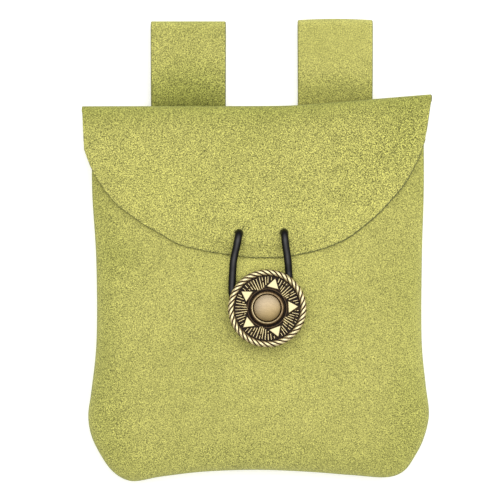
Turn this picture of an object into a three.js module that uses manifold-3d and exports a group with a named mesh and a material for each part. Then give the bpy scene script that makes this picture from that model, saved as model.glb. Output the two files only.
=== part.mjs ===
// Medieval belt pouch of green suede, lying on its back with its front facing up.
// Millimetres. X runs to the right as the front is seen, Y towards the belt loops, Z up.
// The origin is on the surface that the pouch lies on, under the middle of the whole pouch.

import * as THREE from 'three';
import { mergeVertices } from 'three/addons/utils/BufferGeometryUtils.js';
import Module from 'manifold-3d';

const wasm = await Module();
wasm.setup();

// Leather and clearances
const leather = 1.6; // suede of the bag and the flap
const strapLeather = 1.6; // suede of the belt loops
const layerGap = 0.3; // between pieces that touch
const flapGap = 0.5; // between the flap and the curved front under it

// Bag
const footWidth = 136; // across the lower corners, where the bag is widest
const bodyLength = 137.6; // from the mouth to the tip of the lower left corner
const mouthOpening = 6; // between the front and the back at the mouth, inside
const bellyDepth = 16.5; // the same where the bag is fullest
const bellyPlace = 0.7; // how far down the body it is fullest, as a share of its length
const footSink = 3; // how much the front sinks again from there to the foot
const crown = 2.5; // how much the front sinks from its middle line to its sides
const shoulder = 13; // width over which the front rounds down to the seam
const backCurl = 9; // width over which the back curls up to the seam
const seamShare = 0.36; // height of the seam, as a share of the bag's thickness
const squareness = 2.2; // exponent of the rounded edges, 2 for a quarter ellipse

// Flap
const flapWidth = 140; // at the fold, wider than the bag by the seams turned in below it
const flapLength = 61.2; // from the fold line to the lowest point of the flap's edge
const mouthBelowFold = 12; // how far the mouth lies below the fold line
const cornerLift = 4.8; // how much higher the fold line stands at its right end
const cornerLiftStart = 0.2; // where that rise begins, as a share of half the flap's width
const flapDroop = 3.5; // how much the flap's side edges hang lower than its middle
const droopStart = 0.8; // where that begins, as a share of half the flap's width

// Belt loops
const loopWidth = 30.4;
const loopFlare = 0.03; // how much wider the strap looks at its top, as a share of its width
const loopRise = 34.4; // from the fold line up to the tops of the loops
const loopHollow = 5.2; // clear height inside a loop for the belt
const loopTail = 26; // how far both tails reach down under the back
const loopSlope = 16; // length over which the upper layer rises from the back to its height
const liftRun = 30; // length over which the back rises onto the tails

// Button
const buttonDiameter = 31.6;
const buttonAcross = 4.2; // to the right of the middle line
const buttonBelowMouth = 69.4;
const buttonStandoff = 4.6; // from the front's leather up to the underside of the disc
const buttonPull = 0.06; // slope that the cord's pull gives the leather under the button
const pullReach = 10; // how far that slope reaches
const discThickness = 1.7;
const shankDiameter = 6;
const plateDiameter = 10; // inner plate that holds the shank
const plateThickness = 1.2;
const reliefHeight = 0.7; // of the triangles and rays over the field
const triangleCount = 5;
const triangleTurn = 3; // degrees from the X axis to the first triangle's tip
const raysBetween = 8; // thin rays between two triangles
const rayWidth = 0.45;
const strandCount = 36; // strands of the rope border
const domeRise = 2.2;

// Closure cord
const cordDiameter = 3;
const knotWidth = 6.8;
const knotHeight = 4.4;
const knotReach = 10.5; // how far the leather round a knot is pressed away by it
const knotIntoFront = 0.72; // share of that press that the front takes

// Places that follow from these sizes
const totalLength = loopRise + mouthBelowFold + bodyLength;
const foldY = totalLength / 2 - loopRise;
const mouthY = foldY - mouthBelowFold;
const halfFoot = footWidth / 2;
const halfFlap = flapWidth / 2;
const backLift = 2 * (strapLeather + layerGap);
const mouthTop = backLift + 2 * leather + mouthOpening;
const bellyTop = 2 * leather + bellyDepth;
const tailEndY = foldY - loopTail;
const cordRadius = cordDiameter / 2;
const buttonRadius = buttonDiameter / 2;
const buttonY = mouthY - buttonBelowMouth;

// The cord's middle line, from under the flap on the left, round the shank and back under the flap.
// across is a share of the button's radius, down a share of the way from the mouth to the button,
// and over the height above the front's middle line in cord diameters.
const cordTable = [
  { across: -0.443, down: 0.5576, over: 0.6558 },
  { across: -0.443, down: 0.5576, over: 1.2891 },
  { across: -0.4494, down: 0.5677, over: 1.7981 },
  { across: -0.4684, down: 0.5937, over: 2.0013 },
  { across: -0.5, down: 0.6311, over: 1.8416 },
  { across: -0.5443, down: 0.6744, over: 1.5662 },
  { across: -0.5823, down: 0.7233, over: 1.3758 },
  { across: -0.6013, down: 0.781, over: 1.0314 },
  { across: -0.6139, down: 0.8386, over: 0.7575 },
  { across: -0.6139, down: 0.8934, over: 0.6629 },
  { across: -0.5696, down: 0.9496, over: 0.706 },
  { across: -0.4494, down: 1.0029, over: 0.7646 },
  { across: -0.2532, down: 1.0461, over: 0.7845 },
  { across: 0, down: 1.072, over: 0.8068 },
  { across: 0.2785, down: 1.0749, over: 0.802 },
  { across: 0.538, down: 1.0519, over: 0.7744 },
  { across: 0.7342, down: 1.0058, over: 0.7257 },
  { across: 0.8354, down: 0.9496, over: 0.6727 },
  { across: 0.8544, down: 0.8934, over: 0.6295 },
  { across: 0.8291, down: 0.8357, over: 0.6311 },
  { across: 0.8101, down: 0.781, over: 0.8314 },
  { across: 0.7911, down: 0.7233, over: 1.3091 },
  { across: 0.7658, down: 0.6744, over: 1.5662 },
  { across: 0.7342, down: 0.6311, over: 1.8416 },
  { across: 0.7152, down: 0.5908, over: 2.0084 },
  { across: 0.7025, down: 0.5648, over: 1.805 },
  { across: 0.6962, down: 0.5548, over: 1.296 },
  { across: 0.6962, down: 0.5548, over: 0.6627 },
];
const cordRoute = cordTable.map(({ across, down, over }) => {
  const y = mouthY - down * buttonBelowMouth;
  return new THREE.Vector3(across * buttonRadius, y, frontRidge(y) + over * cordDiameter);
});
const cordHoles = [cordRoute[0], cordRoute[cordRoute.length - 1]];

// The seam's outline from the left end of the mouth round the foot to its right end.
// across is a share of half the foot's width, down a share of the body's length.
const seamTable = [
  { across: -0.965, down: 0 },
  { across: -0.965, down: 0.157 },
  { across: -0.941, down: 0.36 },
  { across: -0.941, down: 0.608 },
  { across: -0.971, down: 0.744 },
  { across: -0.988, down: 0.811 },
  { across: -0.971, down: 0.866 },
  { across: -0.918, down: 0.922 },
  { across: -0.841, down: 0.974, corner: true },
  { across: -0.741, down: 1 },
  { across: -0.565, down: 0.988 },
  { across: -0.329, down: 0.974 },
  { across: 0, down: 0.968 },
  { across: 0.318, down: 0.974 },
  { across: 0.553, down: 0.983 },
  { across: 0.788, down: 0.988 },
  { across: 0.871, down: 0.969, corner: true },
  { across: 0.925, down: 0.932 },
  { across: 0.976, down: 0.884 },
  { across: 1.012, down: 0.811 },
  { across: 0.994, down: 0.724 },
  { across: 0.971, down: 0.608 },
  { across: 0.971, down: 0.36 },
  { across: 0.982, down: 0.157 },
  { across: 0.982, down: 0 },
];

// The flap's free edge from its left side round its lowest point to its right side.
// across is a share of half the flap's width, down a share of the flap's length.
const flapTable = [
  { across: -0.983, down: 0.288 },
  { across: -0.943, down: 0.405 },
  { across: -0.886, down: 0.516 },
  { across: -0.806, down: 0.634 },
  { across: -0.686, down: 0.745 },
  { across: -0.566, down: 0.83 },
  { across: -0.429, down: 0.915 },
  { across: -0.223, down: 0.967 },
  { across: 0.034, down: 1 },
  { across: 0.234, down: 0.98 },
  { across: 0.474, down: 0.895 },
  { across: 0.594, down: 0.804 },
  { across: 0.714, down: 0.68 },
  { across: 0.829, down: 0.529 },
  { across: 0.909, down: 0.373 },
  { across: 0.96, down: 0.222 },
];

// Straps behind the fold, with their middles as shares of half the flap's width.
const loopTable = [
  { name: 'belt_loop_left', across: -0.392 },
  { name: 'belt_loop_right', across: 0.447 },
];

// Facets
const sideSteps = 17;
const footSteps = 18;
const shoulderSteps = 5;
const curlSteps = 4;
const neckSteps = 2;
const foldSteps = 7;
const flapSteps = 10;
const cornerCrowding = 0.25; // how much closer the facets stand at the lower corners

// Materials
const suede = () => new THREE.MeshStandardMaterial({ color: 0xbcba6e, roughness: 0.95, metalness: 0 });
const cordLeather = () => new THREE.MeshStandardMaterial({ color: 0x15130f, roughness: 0.5, metalness: 0 });
const agedBrass = () => new THREE.MeshStandardMaterial({ color: 0xb49a5c, roughness: 0.35, metalness: 1 });

// Smooth step from 0 to 1 along half a cosine wave.
function ease(share) {
  const held = THREE.MathUtils.clamp(share, 0, 1);
  return (1 - Math.cos(Math.PI * held)) / 2;
}

// Height of the back's underside: flat on the ground, and lifted near the top by the loops' tails.
function backUnder(y) {
  const liftEnd = tailEndY - layerGap;
  return backLift * ease((y - liftEnd + liftRun) / liftRun);
}

// Height of the front's outer face along its middle line.
function frontRidge(y) {
  const down = (mouthY - y) / bodyLength;
  if (down < bellyPlace) {
    return mouthTop + (bellyTop - mouthTop) * ease(down / bellyPlace);
  }
  return bellyTop - footSink * ease((down - bellyPlace) / (1 - bellyPlace));
}

// How much of a knot's press is felt at a place, from 1 at the knot to 0 well away from it.
function knotPress(x, y) {
  const presses = cordHoles.map((hole) => {
    const away = Math.hypot(x - hole.x, y - hole.y);
    return Math.exp(-((away / knotReach) ** 3));
  });
  return Math.max(...presses);
}

const knotRoom = knotHeight + 4 * layerGap - flapGap;

// How much the leather round the button tips towards the loops under the cord's pull.
function pulled(x, y) {
  const away = Math.hypot(x - buttonAcross, y - buttonY) / pullReach;
  return -buttonPull * (y - buttonY) * Math.exp(-(away ** 2) / 2);
}

// Height of the front's outer face away from its rounded edges.
function frontTop(x, y) {
  const sunk = crown * (x / halfFoot) ** 2 + knotRoom * knotIntoFront * knotPress(x, y);
  return frontRidge(y) - sunk + pulled(x, y);
}

// Height of the flap's underside, which lies on the front and hangs at its sides.
function flapUnder(x, y) {
  const sunk = crown * (x / halfFoot) ** 2;
  const past = Math.max(0, (Math.abs(x) / halfFlap - droopStart) / (1 - droopStart));
  const pressed = knotRoom * (1 - knotIntoFront) * knotPress(x, y);
  return frontRidge(y) - sunk + flapGap + pressed - flapDroop * past ** 2;
}

// Place of the fold line along the top, which rises towards its right end.
function foldLine(x) {
  const start = cornerLiftStart * halfFlap;
  const past = (x - start) / (halfFlap - start);
  return foldY + (cornerLift * (past + Math.hypot(past, 0.12))) / 2;
}

// Round section of the fold at a place across the top.
function foldSection(x) {
  const under = backUnder(foldY);
  const guess = foldLine(x) - (mouthTop - under) / 2;
  const top = flapUnder(x, guess) + leather;
  const radius = (top - under) / 2;
  return { y: foldLine(x) - radius, z: under + radius, radius };
}

// A solid for joining and cutting, from a closed geometry.
function toSolid(geometry) {
  const bare = geometry.index ? geometry.toNonIndexed() : geometry.clone();
  const places = new THREE.BufferGeometry().setAttribute('position', bare.getAttribute('position'));
  const merged = mergeVertices(places, 1e-4);
  const index = merged.index.array;
  const faces = [];
  for (let i = 0; i < index.length; i += 3) {
    const [a, b, c] = [index[i], index[i + 1], index[i + 2]];
    if (a !== b && b !== c && c !== a) faces.push(a, b, c);
  }
  return new wasm.Manifold(
    new wasm.Mesh({
      numProp: 3,
      vertProperties: merged.attributes.position.array,
      triVerts: new Uint32Array(faces),
    }),
  );
}

// A geometry back from a solid.
function toGeometry(solid) {
  const mesh = solid.getMesh();
  const geometry = new THREE.BufferGeometry();
  geometry.setAttribute('position', new THREE.BufferAttribute(new Float32Array(mesh.vertProperties), 3));
  geometry.setIndex(new THREE.BufferAttribute(new Uint32Array(mesh.triVerts), 1));
  geometry.computeVertexNormals();
  return geometry;
}

// One face of a leather piece: points, four-sided facets, and set directions at sewn edges.
class Face {
  constructor() {
    this.points = [];
    this.quads = [];
    this.setNormals = new Map();
  }

  add(x, y, z) {
    this.points.push(new THREE.Vector3(x, y, z));
    return this.points.length - 1;
  }

  // Facets between two rows of points that run side by side.
  between(rowA, rowB) {
    for (let j = 0; j + 1 < rowA.length; j += 1) {
      this.quads.push([rowA[j], rowA[j + 1], rowB[j + 1], rowB[j]]);
    }
  }

  // The two triangles of a facet, split along the diagonal that gives the fuller ones.
  split([a, b, c, d]) {
    const area = (i, j, k) => {
      const triangle = new THREE.Triangle(this.points[i], this.points[j], this.points[k]);
      return triangle.getArea();
    };
    const first = Math.min(area(a, b, c), area(a, c, d));
    const second = Math.min(area(a, b, d), area(b, c, d));
    return first >= second ? [[a, b, c], [a, c, d]] : [[a, b, d], [b, c, d]];
  }

  // A closed wall: this face, the same face one thickness inwards, and the cut edges between them.
  wall(thickness) {
    const outer = this.quads.flatMap((quad) => this.split(quad));
    const normals = this.points.map(() => new THREE.Vector3());
    for (const [a, b, c] of outer) {
      const along = new THREE.Vector3().subVectors(this.points[b], this.points[a]);
      const across = new THREE.Vector3().subVectors(this.points[c], this.points[a]);
      const turned = along.cross(across);
      for (const i of [a, b, c]) normals[i].add(turned);
    }
    for (const [i, normal] of this.setNormals) normals[i].copy(normal);
    const inner = this.points.map((point, i) => (
      point.clone().addScaledVector(normals[i].normalize(), -thickness)
    ));
    const count = this.points.length;
    const faces = outer.flatMap(([a, b, c]) => [a, b, c, a + count, c + count, b + count]);
    const edges = new Set(outer.flatMap(([a, b, c]) => [`${a} ${b}`, `${b} ${c}`, `${c} ${a}`]));
    for (const edge of edges) {
      const [a, b] = edge.split(' ').map(Number);
      if (!edges.has(`${b} ${a}`)) faces.push(b, a, a + count, b, a + count, b + count);
    }
    const geometry = new THREE.BufferGeometry().setFromPoints([...this.points, ...inner]);
    geometry.setIndex(faces);
    return toSolid(geometry);
  }
}

// The seam's outline as points with their direction into the bag, closer together at the corners.
function seamOutline() {
  const places = seamTable.map(({ across, down }) => (
    new THREE.Vector3(across * halfFoot, mouthY - down * bodyLength, 0)
  ));
  const curve = new THREE.CatmullRomCurve3(places);
  const divisions = (places.length - 1) * 40;
  curve.arcLengthDivisions = divisions;
  const lengths = curve.getLengths();
  const total = lengths[divisions];
  const corners = seamTable
    .map((row, i) => (row.corner ? lengths[i * 40] / total : null))
    .filter((share) => share !== null);
  const toCorner = (t) => (1 - cornerCrowding) * t + cornerCrowding * Math.sin((Math.PI / 2) * t);
  const betweenCorners = (t) => t - (cornerCrowding / 9) * Math.sin(2 * Math.PI * t);
  const shares = [];
  for (let i = 0; i < sideSteps; i += 1) {
    shares.push(corners[0] * toCorner(i / sideSteps));
  }
  for (let j = 0; j < footSteps; j += 1) {
    shares.push(corners[0] + (corners[1] - corners[0]) * betweenCorners(j / footSteps));
  }
  for (let i = sideSteps; i >= 0; i -= 1) {
    shares.push(1 - (1 - corners[1]) * toCorner(i / sideSteps));
  }
  return shares.map((share) => {
    const point = curve.getPointAt(share);
    const tangent = curve.getTangentAt(share);
    return { x: point.x, y: point.y, inX: -tangent.y, inY: tangent.x };
  });
}

const outline = seamOutline();

// Height of the seam beside a place along the bag.
function seamHeight(y) {
  return THREE.MathUtils.lerp(backUnder(y), frontRidge(y), seamShare);
}

// One side of the bag, inside the seam's outline: rings of facets that round from the seam to the
// side's own surface, and a grid inside them. Returns the row of points along the mouth.
function bagSide(face, surface, roundWidth, steps, seamOffset, facesUp) {
  const rings = [];
  for (let k = 0; k <= steps; k += 1) {
    const angle = (Math.PI / 2) * (k / steps);
    const inset = roundWidth * (1 - Math.cos(angle) ** (2 / squareness));
    const risen = Math.sin(angle) ** (2 / squareness);
    rings.push(outline.map((seam) => {
      const x = seam.x + seam.inX * inset;
      const y = Math.min(mouthY, seam.y + seam.inY * inset);
      const z = THREE.MathUtils.lerp(seamHeight(seam.y) + seamOffset, surface(x, y), risen);
      return face.add(x, y, z);
    }));
  }
  rings[0].forEach((point, i) => {
    face.setNormals.set(point, new THREE.Vector3(-outline[i].inX, -outline[i].inY, 0));
  });
  const inmost = rings[steps];
  const left = inmost.slice(0, sideSteps + 1);
  const foot = inmost.slice(sideSteps, sideSteps + footSteps + 1);
  const right = inmost.slice(sideSteps + footSteps).reverse();
  const at = (i) => face.points[i];
  const rows = left.map((start, i) => {
    const v = i / sideSteps;
    return foot.map((end, j) => {
      const u = j / footSteps;
      if (i === sideSteps) return end;
      if (j === 0) return start;
      if (j === footSteps) return right[i];
      const blend = (axis) => (
        (1 - u) * at(start)[axis] + u * at(right[i])[axis]
        + v * (at(end)[axis] - (1 - u) * at(foot[0])[axis] - u * at(foot[footSteps])[axis])
      );
      const x = blend('x');
      const y = blend('y');
      return face.add(x, y, surface(x, y));
    });
  });
  for (let k = 0; k < steps; k += 1) {
    if (facesUp) face.between(rings[k], rings[k + 1]);
    else face.between(rings[k + 1], rings[k]);
  }
  for (let i = 0; i < sideSteps; i += 1) {
    if (facesUp) face.between(rows[i + 1], rows[i]);
    else face.between(rows[i], rows[i + 1]);
  }
  const last = outline.length - 1;
  return [
    ...rings.slice(0, steps).map((ring) => ring[0]),
    ...rows[0],
    ...rings.slice(0, steps).reverse().map((ring) => ring[last]),
  ];
}

// Round cutter through a wall at a place, along a direction, with its flats at the given radius.
function borer(radius, place, direction, length) {
  const sides = 12;
  const corner = radius / Math.cos(Math.PI / sides);
  const geometry = new THREE.CylinderGeometry(corner, corner, length, sides);
  const turn = new THREE.Quaternion().setFromUnitVectors(new THREE.Vector3(0, 1, 0), direction);
  geometry.applyQuaternion(turn);
  geometry.translate(place.x, place.y, place.z);
  return toSolid(geometry);
}

// Back, fold and flap in one piece of suede, with the cord's two holes.
function backAndFlap() {
  const face = new Face();
  const mouthRow = bagSide(face, (x, y) => backUnder(y), backCurl, curlSteps, -layerGap / 2, false);
  const ends = [face.points[mouthRow[0]].x, face.points[mouthRow[mouthRow.length - 1]].x];
  const spread = mouthRow.map((i) => (face.points[i].x - ends[0]) / (ends[1] - ends[0]));
  const edgeCurve = new THREE.CatmullRomCurve3(flapTable.map(({ across, down }) => (
    new THREE.Vector3(across * halfFlap, foldY - down * flapLength, 0)
  )));
  let row = mouthRow;
  const follow = (place) => {
    const next = spread.map((share, j) => place(share, face.points[mouthRow[j]]));
    face.between(next, row);
    row = next;
  };
  for (let i = 1; i <= neckSteps; i += 1) {
    const v = i / neckSteps;
    follow((share, start) => {
      const x = THREE.MathUtils.lerp(-halfFlap, halfFlap, share);
      const section = foldSection(x);
      return face.add(
        THREE.MathUtils.lerp(start.x, x, v),
        THREE.MathUtils.lerp(start.y, section.y, v),
        THREE.MathUtils.lerp(start.z, section.z - section.radius, ease(v)),
      );
    });
  }
  for (let i = 1; i <= foldSteps; i += 1) {
    const angle = Math.PI * (i / foldSteps - 0.5);
    follow((share) => {
      const x = THREE.MathUtils.lerp(-halfFlap, halfFlap, share);
      const section = foldSection(x);
      const y = section.y + section.radius * Math.cos(angle);
      return face.add(x, y, section.z + section.radius * Math.sin(angle));
    });
  }
  for (let i = 1; i <= flapSteps; i += 1) {
    const v = i / flapSteps;
    follow((share) => {
      const startX = THREE.MathUtils.lerp(-halfFlap, halfFlap, share);
      const end = edgeCurve.getPointAt(share);
      const x = THREE.MathUtils.lerp(startX, end.x, v);
      const y = THREE.MathUtils.lerp(foldSection(startX).y, end.y, v);
      return face.add(x, y, flapUnder(x, y) + leather);
    });
  }
  const upright = new THREE.Vector3(0, 0, 1);
  const holes = cordHoles.map((hole) => {
    const place = new THREE.Vector3(hole.x, hole.y, flapUnder(hole.x, hole.y) + leather / 2);
    return borer(cordRadius + layerGap, place, upright, 3 * leather);
  });
  return holes.reduce((solid, hole) => solid.subtract(hole), face.wall(leather));
}

// Where the button stands on the front: its place on the leather and the way it faces.
function buttonSeat() {
  const reach = 4;
  const place = new THREE.Vector3(buttonAcross, buttonY, frontTop(buttonAcross, buttonY));
  const slopeX = (frontTop(place.x + reach, place.y) - frontTop(place.x - reach, place.y)) / (2 * reach);
  const slopeY = (frontTop(place.x, place.y + reach) - frontTop(place.x, place.y - reach)) / (2 * reach);
  return { place, up: new THREE.Vector3(-slopeX, -slopeY, 1).normalize() };
}

// Front of the bag, with the hole for the button's shank.
function frontPanel() {
  const face = new Face();
  bagSide(face, frontTop, shoulder, shoulderSteps, layerGap / 2, true);
  const { place, up } = buttonSeat();
  const hole = borer(shankDiameter / 2 + layerGap, place, up, 4 * leather);
  return face.wall(leather).subtract(hole);
}

// One belt loop: a strap folded over at its top, both tails flat under the back.
function beltLoop(middle) {
  const turn = (loopHollow + 2 * strapLeather) / 2;
  const topY = foldY + loopRise;
  const turnY = topY - turn;
  const upperTail = strapLeather + layerGap;
  const rimX = middle + loopWidth / 2;
  const section = foldSection(Math.max(0, rimX));
  const slopeStart = section.y;
  const slopeEnd = slopeStart + loopSlope;
  const bend = (slopeEnd - slopeStart) / 2;
  const shape = new THREE.Shape();
  shape.moveTo(tailEndY, 0);
  shape.lineTo(turnY, 0);
  shape.absarc(turnY, turn, turn, -Math.PI / 2, Math.PI / 2, false);
  shape.lineTo(slopeEnd, 2 * turn);
  shape.bezierCurveTo(
    slopeEnd - bend, 2 * turn,
    slopeStart + bend, upperTail + strapLeather,
    slopeStart, upperTail + strapLeather,
  );
  shape.lineTo(tailEndY, upperTail + strapLeather);
  shape.lineTo(tailEndY, upperTail);
  shape.lineTo(slopeStart, upperTail);
  shape.bezierCurveTo(
    slopeStart + bend, upperTail,
    slopeEnd - bend, 2 * turn - strapLeather,
    slopeEnd, 2 * turn - strapLeather,
  );
  shape.lineTo(turnY, 2 * turn - strapLeather);
  shape.absarc(turnY, turn, turn - strapLeather, Math.PI / 2, -Math.PI / 2, true);
  shape.lineTo(tailEndY, strapLeather);
  shape.closePath();
  const geometry = new THREE.ExtrudeGeometry(shape, {
    depth: loopWidth,
    bevelEnabled: false,
    curveSegments: 7,
  });
  geometry.translate(0, 0, -loopWidth / 2);
  const places = geometry.getAttribute('position');
  for (let i = 0; i < places.count; i += 1) {
    const along = places.getX(i);
    const up = places.getY(i);
    const flare = 1 + loopFlare * ease((along - slopeStart) / (topY - slopeStart));
    places.setXYZ(i, middle + places.getZ(i) * flare, along, up);
  }
  return toSolid(geometry);
}

// Solid of revolution about the Z axis from radius and height pairs that start and end on the axis.
function turned(profile, segments) {
  const points = profile.map(([radius, height]) => new THREE.Vector2(radius, height));
  return toSolid(new THREE.LatheGeometry(points, segments).rotateX(Math.PI / 2));
}

// The rope border as a ring whose strands wind slantwise round it.
function ropeBorder(ringRadius, ropeRadius, height) {
  const around = strandCount * 3;
  const sides = 5;
  const face = new Face();
  const rings = [];
  for (let i = 0; i < around; i += 1) {
    const angle = (2 * Math.PI * i) / around;
    const ring = [];
    for (let k = 0; k < sides; k += 1) {
      const turn = (2 * Math.PI * (k + 0.5)) / sides - Math.PI / 2;
      const bulge = 1 + 0.11 * Math.cos(strandCount * angle + turn);
      const radius = ringRadius + ropeRadius * bulge * Math.cos(turn);
      ring.push(face.add(
        radius * Math.cos(angle),
        radius * Math.sin(angle),
        height + ropeRadius * bulge * Math.sin(turn),
      ));
    }
    rings.push([...ring, ring[0]]);
  }
  rings.forEach((ring, i) => face.between(rings[(i + 1) % around], ring));
  const triangles = face.quads.flatMap((quad) => face.split(quad)).flat();
  const geometry = new THREE.BufferGeometry().setFromPoints(face.points);
  geometry.setIndex(triangles);
  return toSolid(geometry);
}

// A flat raised shape on the button's field from corners given as radius and degrees.
function raised(corners, bottom, height) {
  const places = corners.map(([radius, degrees]) => {
    const angle = THREE.MathUtils.degToRad(degrees);
    return new THREE.Vector2(radius * Math.cos(angle), radius * Math.sin(angle));
  });
  const geometry = new THREE.ExtrudeGeometry(new THREE.Shape(places), {
    depth: height,
    bevelEnabled: false,
  });
  return toSolid(geometry.translate(0, 0, bottom));
}

// The cast button, standing on the leather at height 0 of its own frame.
function castButton() {
  const ropeRadius = 0.081 * buttonRadius;
  const ropeRing = buttonRadius - 1.11 * ropeRadius;
  const discBottom = buttonStandoff;
  const field = discBottom + discThickness;
  const ringOuter = 0.52 * buttonRadius;
  const ringInner = 0.475 * buttonRadius;
  const collarOuter = 0.42 * buttonRadius;
  const collarInner = 0.36 * buttonRadius;
  const domeRadius = 0.335 * buttonRadius;
  const collarTop = field + 2 * reliefHeight;
  const domeFoot = collarTop - 0.3 * reliefHeight;
  const plateTop = -(leather + layerGap);
  const plateBottom = plateTop - plateThickness;
  const dome = [0, 30, 60].map((degrees) => {
    const angle = THREE.MathUtils.degToRad(degrees);
    return [domeRadius * Math.cos(angle), domeFoot + domeRise * Math.sin(angle)];
  });
  const body = turned([
    [0, plateBottom],
    [plateDiameter / 2, plateBottom],
    [plateDiameter / 2, plateTop],
    [shankDiameter / 2, plateTop],
    [shankDiameter / 2, discBottom],
    [buttonRadius - 1.4 * ropeRadius, discBottom],
    [buttonRadius - 0.6 * ropeRadius, field],
    [ringOuter, field],
    [(ringOuter + ringInner) / 2, field + 0.6 * reliefHeight],
    [ringInner, field],
    [collarOuter, field],
    [collarOuter, collarTop - 0.3 * reliefHeight],
    [(collarOuter + collarInner) / 2, collarTop],
    [collarInner, domeFoot],
    ...dome,
    [0, domeFoot + domeRise],
  ], 30);
  const sector = 360 / triangleCount;
  const rayStart = ringOuter + layerGap;
  const rayEnd = ropeRing - 1.35 * ropeRadius;
  const reliefs = [];
  for (let k = 0; k < triangleCount; k += 1) {
    const tip = triangleTurn + k * sector;
    const baseTurn = 0.24 * sector;
    reliefs.push(raised([
      [0.785 * buttonRadius, tip],
      [1.06 * ringOuter, tip + baseTurn],
      [1.06 * ringOuter, tip - baseTurn],
    ], field - reliefHeight, 2.1 * reliefHeight));
    for (let r = 0; r < raysBetween; r += 1) {
      const middle = tip + sector * THREE.MathUtils.lerp(0.275, 0.725, r / (raysBetween - 1));
      const startTurn = THREE.MathUtils.radToDeg(rayWidth / 2 / rayStart);
      const endTurn = THREE.MathUtils.radToDeg(rayWidth / 2 / rayEnd);
      reliefs.push(raised([
        [rayStart, middle - startTurn],
        [rayEnd, middle - endTurn],
        [rayEnd, middle + endTurn],
        [rayStart, middle + startTurn],
      ], field - reliefHeight, 1.7 * reliefHeight));
    }
  }
  const rope = ropeBorder(ropeRing, ropeRadius, field);
  return wasm.Manifold.union([body, rope, ...reliefs]);
}

// A piece with its name and finish, in its own place.
function piece(name, geometry, material) {
  const mesh = new THREE.Mesh(geometry, material);
  mesh.name = name;
  return mesh;
}

// The cord as a round tube along its route.
function closureCord() {
  const section = new THREE.Shape().absarc(0, 0, cordRadius, 0, 2 * Math.PI, false);
  const route = new THREE.CatmullRomCurve3(cordRoute);
  const step = 1.1 * cordDiameter;
  return new THREE.ExtrudeGeometry(section, {
    steps: Math.round(route.getLength() / step),
    curveSegments: 4,
    extrudePath: route,
    bevelEnabled: false,
  });
}

// A flattened stopper knot, under the flap and clear of the cord's end above it.
function stopperKnot() {
  const profile = [];
  const steps = 6;
  for (let i = 0; i <= steps; i += 1) {
    const angle = Math.PI * (i / steps - 0.5);
    const radius = i % steps === 0 ? 0 : (knotWidth / 2) * Math.cos(angle);
    profile.push(new THREE.Vector2(radius, (knotHeight / 2) * Math.sin(angle)));
  }
  return new THREE.LatheGeometry(profile, 10).rotateX(Math.PI / 2);
}

const pouch = new THREE.Group();
pouch.add(piece('back_and_flap', toGeometry(backAndFlap()), suede()));
pouch.add(piece('front_panel', toGeometry(frontPanel()), suede()));

for (const { name, across } of loopTable) {
  pouch.add(piece(name, toGeometry(beltLoop(across * halfFlap)), suede()));
}

const seat = buttonSeat();
const button = piece('button', toGeometry(castButton()), agedBrass());
button.quaternion.setFromUnitVectors(new THREE.Vector3(0, 0, 1), seat.up);
button.position.copy(seat.place);
pouch.add(button);

pouch.add(piece('closure_cord', closureCord(), cordLeather()));
['cord_knot_left', 'cord_knot_right'].forEach((name, i) => {
  const end = cordHoles[i];
  const knot = piece(name, stopperKnot(), cordLeather());
  knot.position.set(end.x, end.y, flapUnder(end.x, end.y) - layerGap - knotHeight / 2);
  pouch.add(knot);
});

export default pouch;
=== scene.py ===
"""Looks of the medieval belt pouch: a flapped suede bag, two belt loops, a cord and a button.

Lengths are in millimetres until a mesh is made. X runs to the right of the front, Y towards the
belt loops and Z up from the surface that the pouch lies on.
"""

import logging
import math
from collections.abc import Callable, Sequence
from dataclasses import dataclass, field
from enum import Enum
from typing import Any

import bmesh
import bpy
import numpy as np
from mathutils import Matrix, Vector


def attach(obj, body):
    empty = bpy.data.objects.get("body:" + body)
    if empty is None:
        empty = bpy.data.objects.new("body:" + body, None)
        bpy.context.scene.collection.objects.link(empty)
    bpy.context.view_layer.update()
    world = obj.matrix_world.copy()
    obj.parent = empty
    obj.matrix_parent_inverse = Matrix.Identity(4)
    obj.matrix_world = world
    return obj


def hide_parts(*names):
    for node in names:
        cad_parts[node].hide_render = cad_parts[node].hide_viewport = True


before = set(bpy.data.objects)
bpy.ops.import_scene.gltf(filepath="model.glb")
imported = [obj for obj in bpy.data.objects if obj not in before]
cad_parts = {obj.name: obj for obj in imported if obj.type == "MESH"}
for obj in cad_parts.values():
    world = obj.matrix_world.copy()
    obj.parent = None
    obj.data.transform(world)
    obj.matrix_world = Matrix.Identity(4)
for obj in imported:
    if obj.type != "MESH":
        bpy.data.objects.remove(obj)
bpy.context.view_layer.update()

MM = 0.001
BODY = "root"
MERGE_REACH = 2e-7  # metres within which points become one
SPAN_STEPS = 40  # steps in each span of a smooth curve

log = logging.getLogger("pouch")


class Slot(Enum):
    """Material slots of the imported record."""

    SUEDE = "suede"
    BRASS = "brass"
    CORD = "cord"


# Curves and surfaces


def ease(share: np.ndarray | float) -> np.ndarray:
    """Smooth step from 0 to 1 along half a cosine wave.

    Args:
        share: Place along the step, held between 0 and 1.

    Returns:
        (1 - cos(pi * share)) / 2.
    """
    return (1 - np.cos(np.pi * np.clip(share, 0, 1))) / 2


def mix(a: Any, b: Any, share: Any) -> Any:
    """Straight mix from a to b: a + (b - a) * share."""
    return a + (b - a) * share


def bump_at(x: Any, y: Any, place: Sequence[float], reach: Sequence[float]) -> np.ndarray:
    """A soft round patch, exp(-(dx / reach x)^2 - (dy / reach y)^2).

    Args:
        x: Places across.
        y: Places along.
        place: Middle of the patch.
        reach: How far it reaches across and along.

    Returns:
        1 at the middle and 0 well away from it.
    """
    return np.exp(-(((x - place[0]) / reach[0]) ** 2) - ((y - place[1]) / reach[1]) ** 2)


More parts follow.
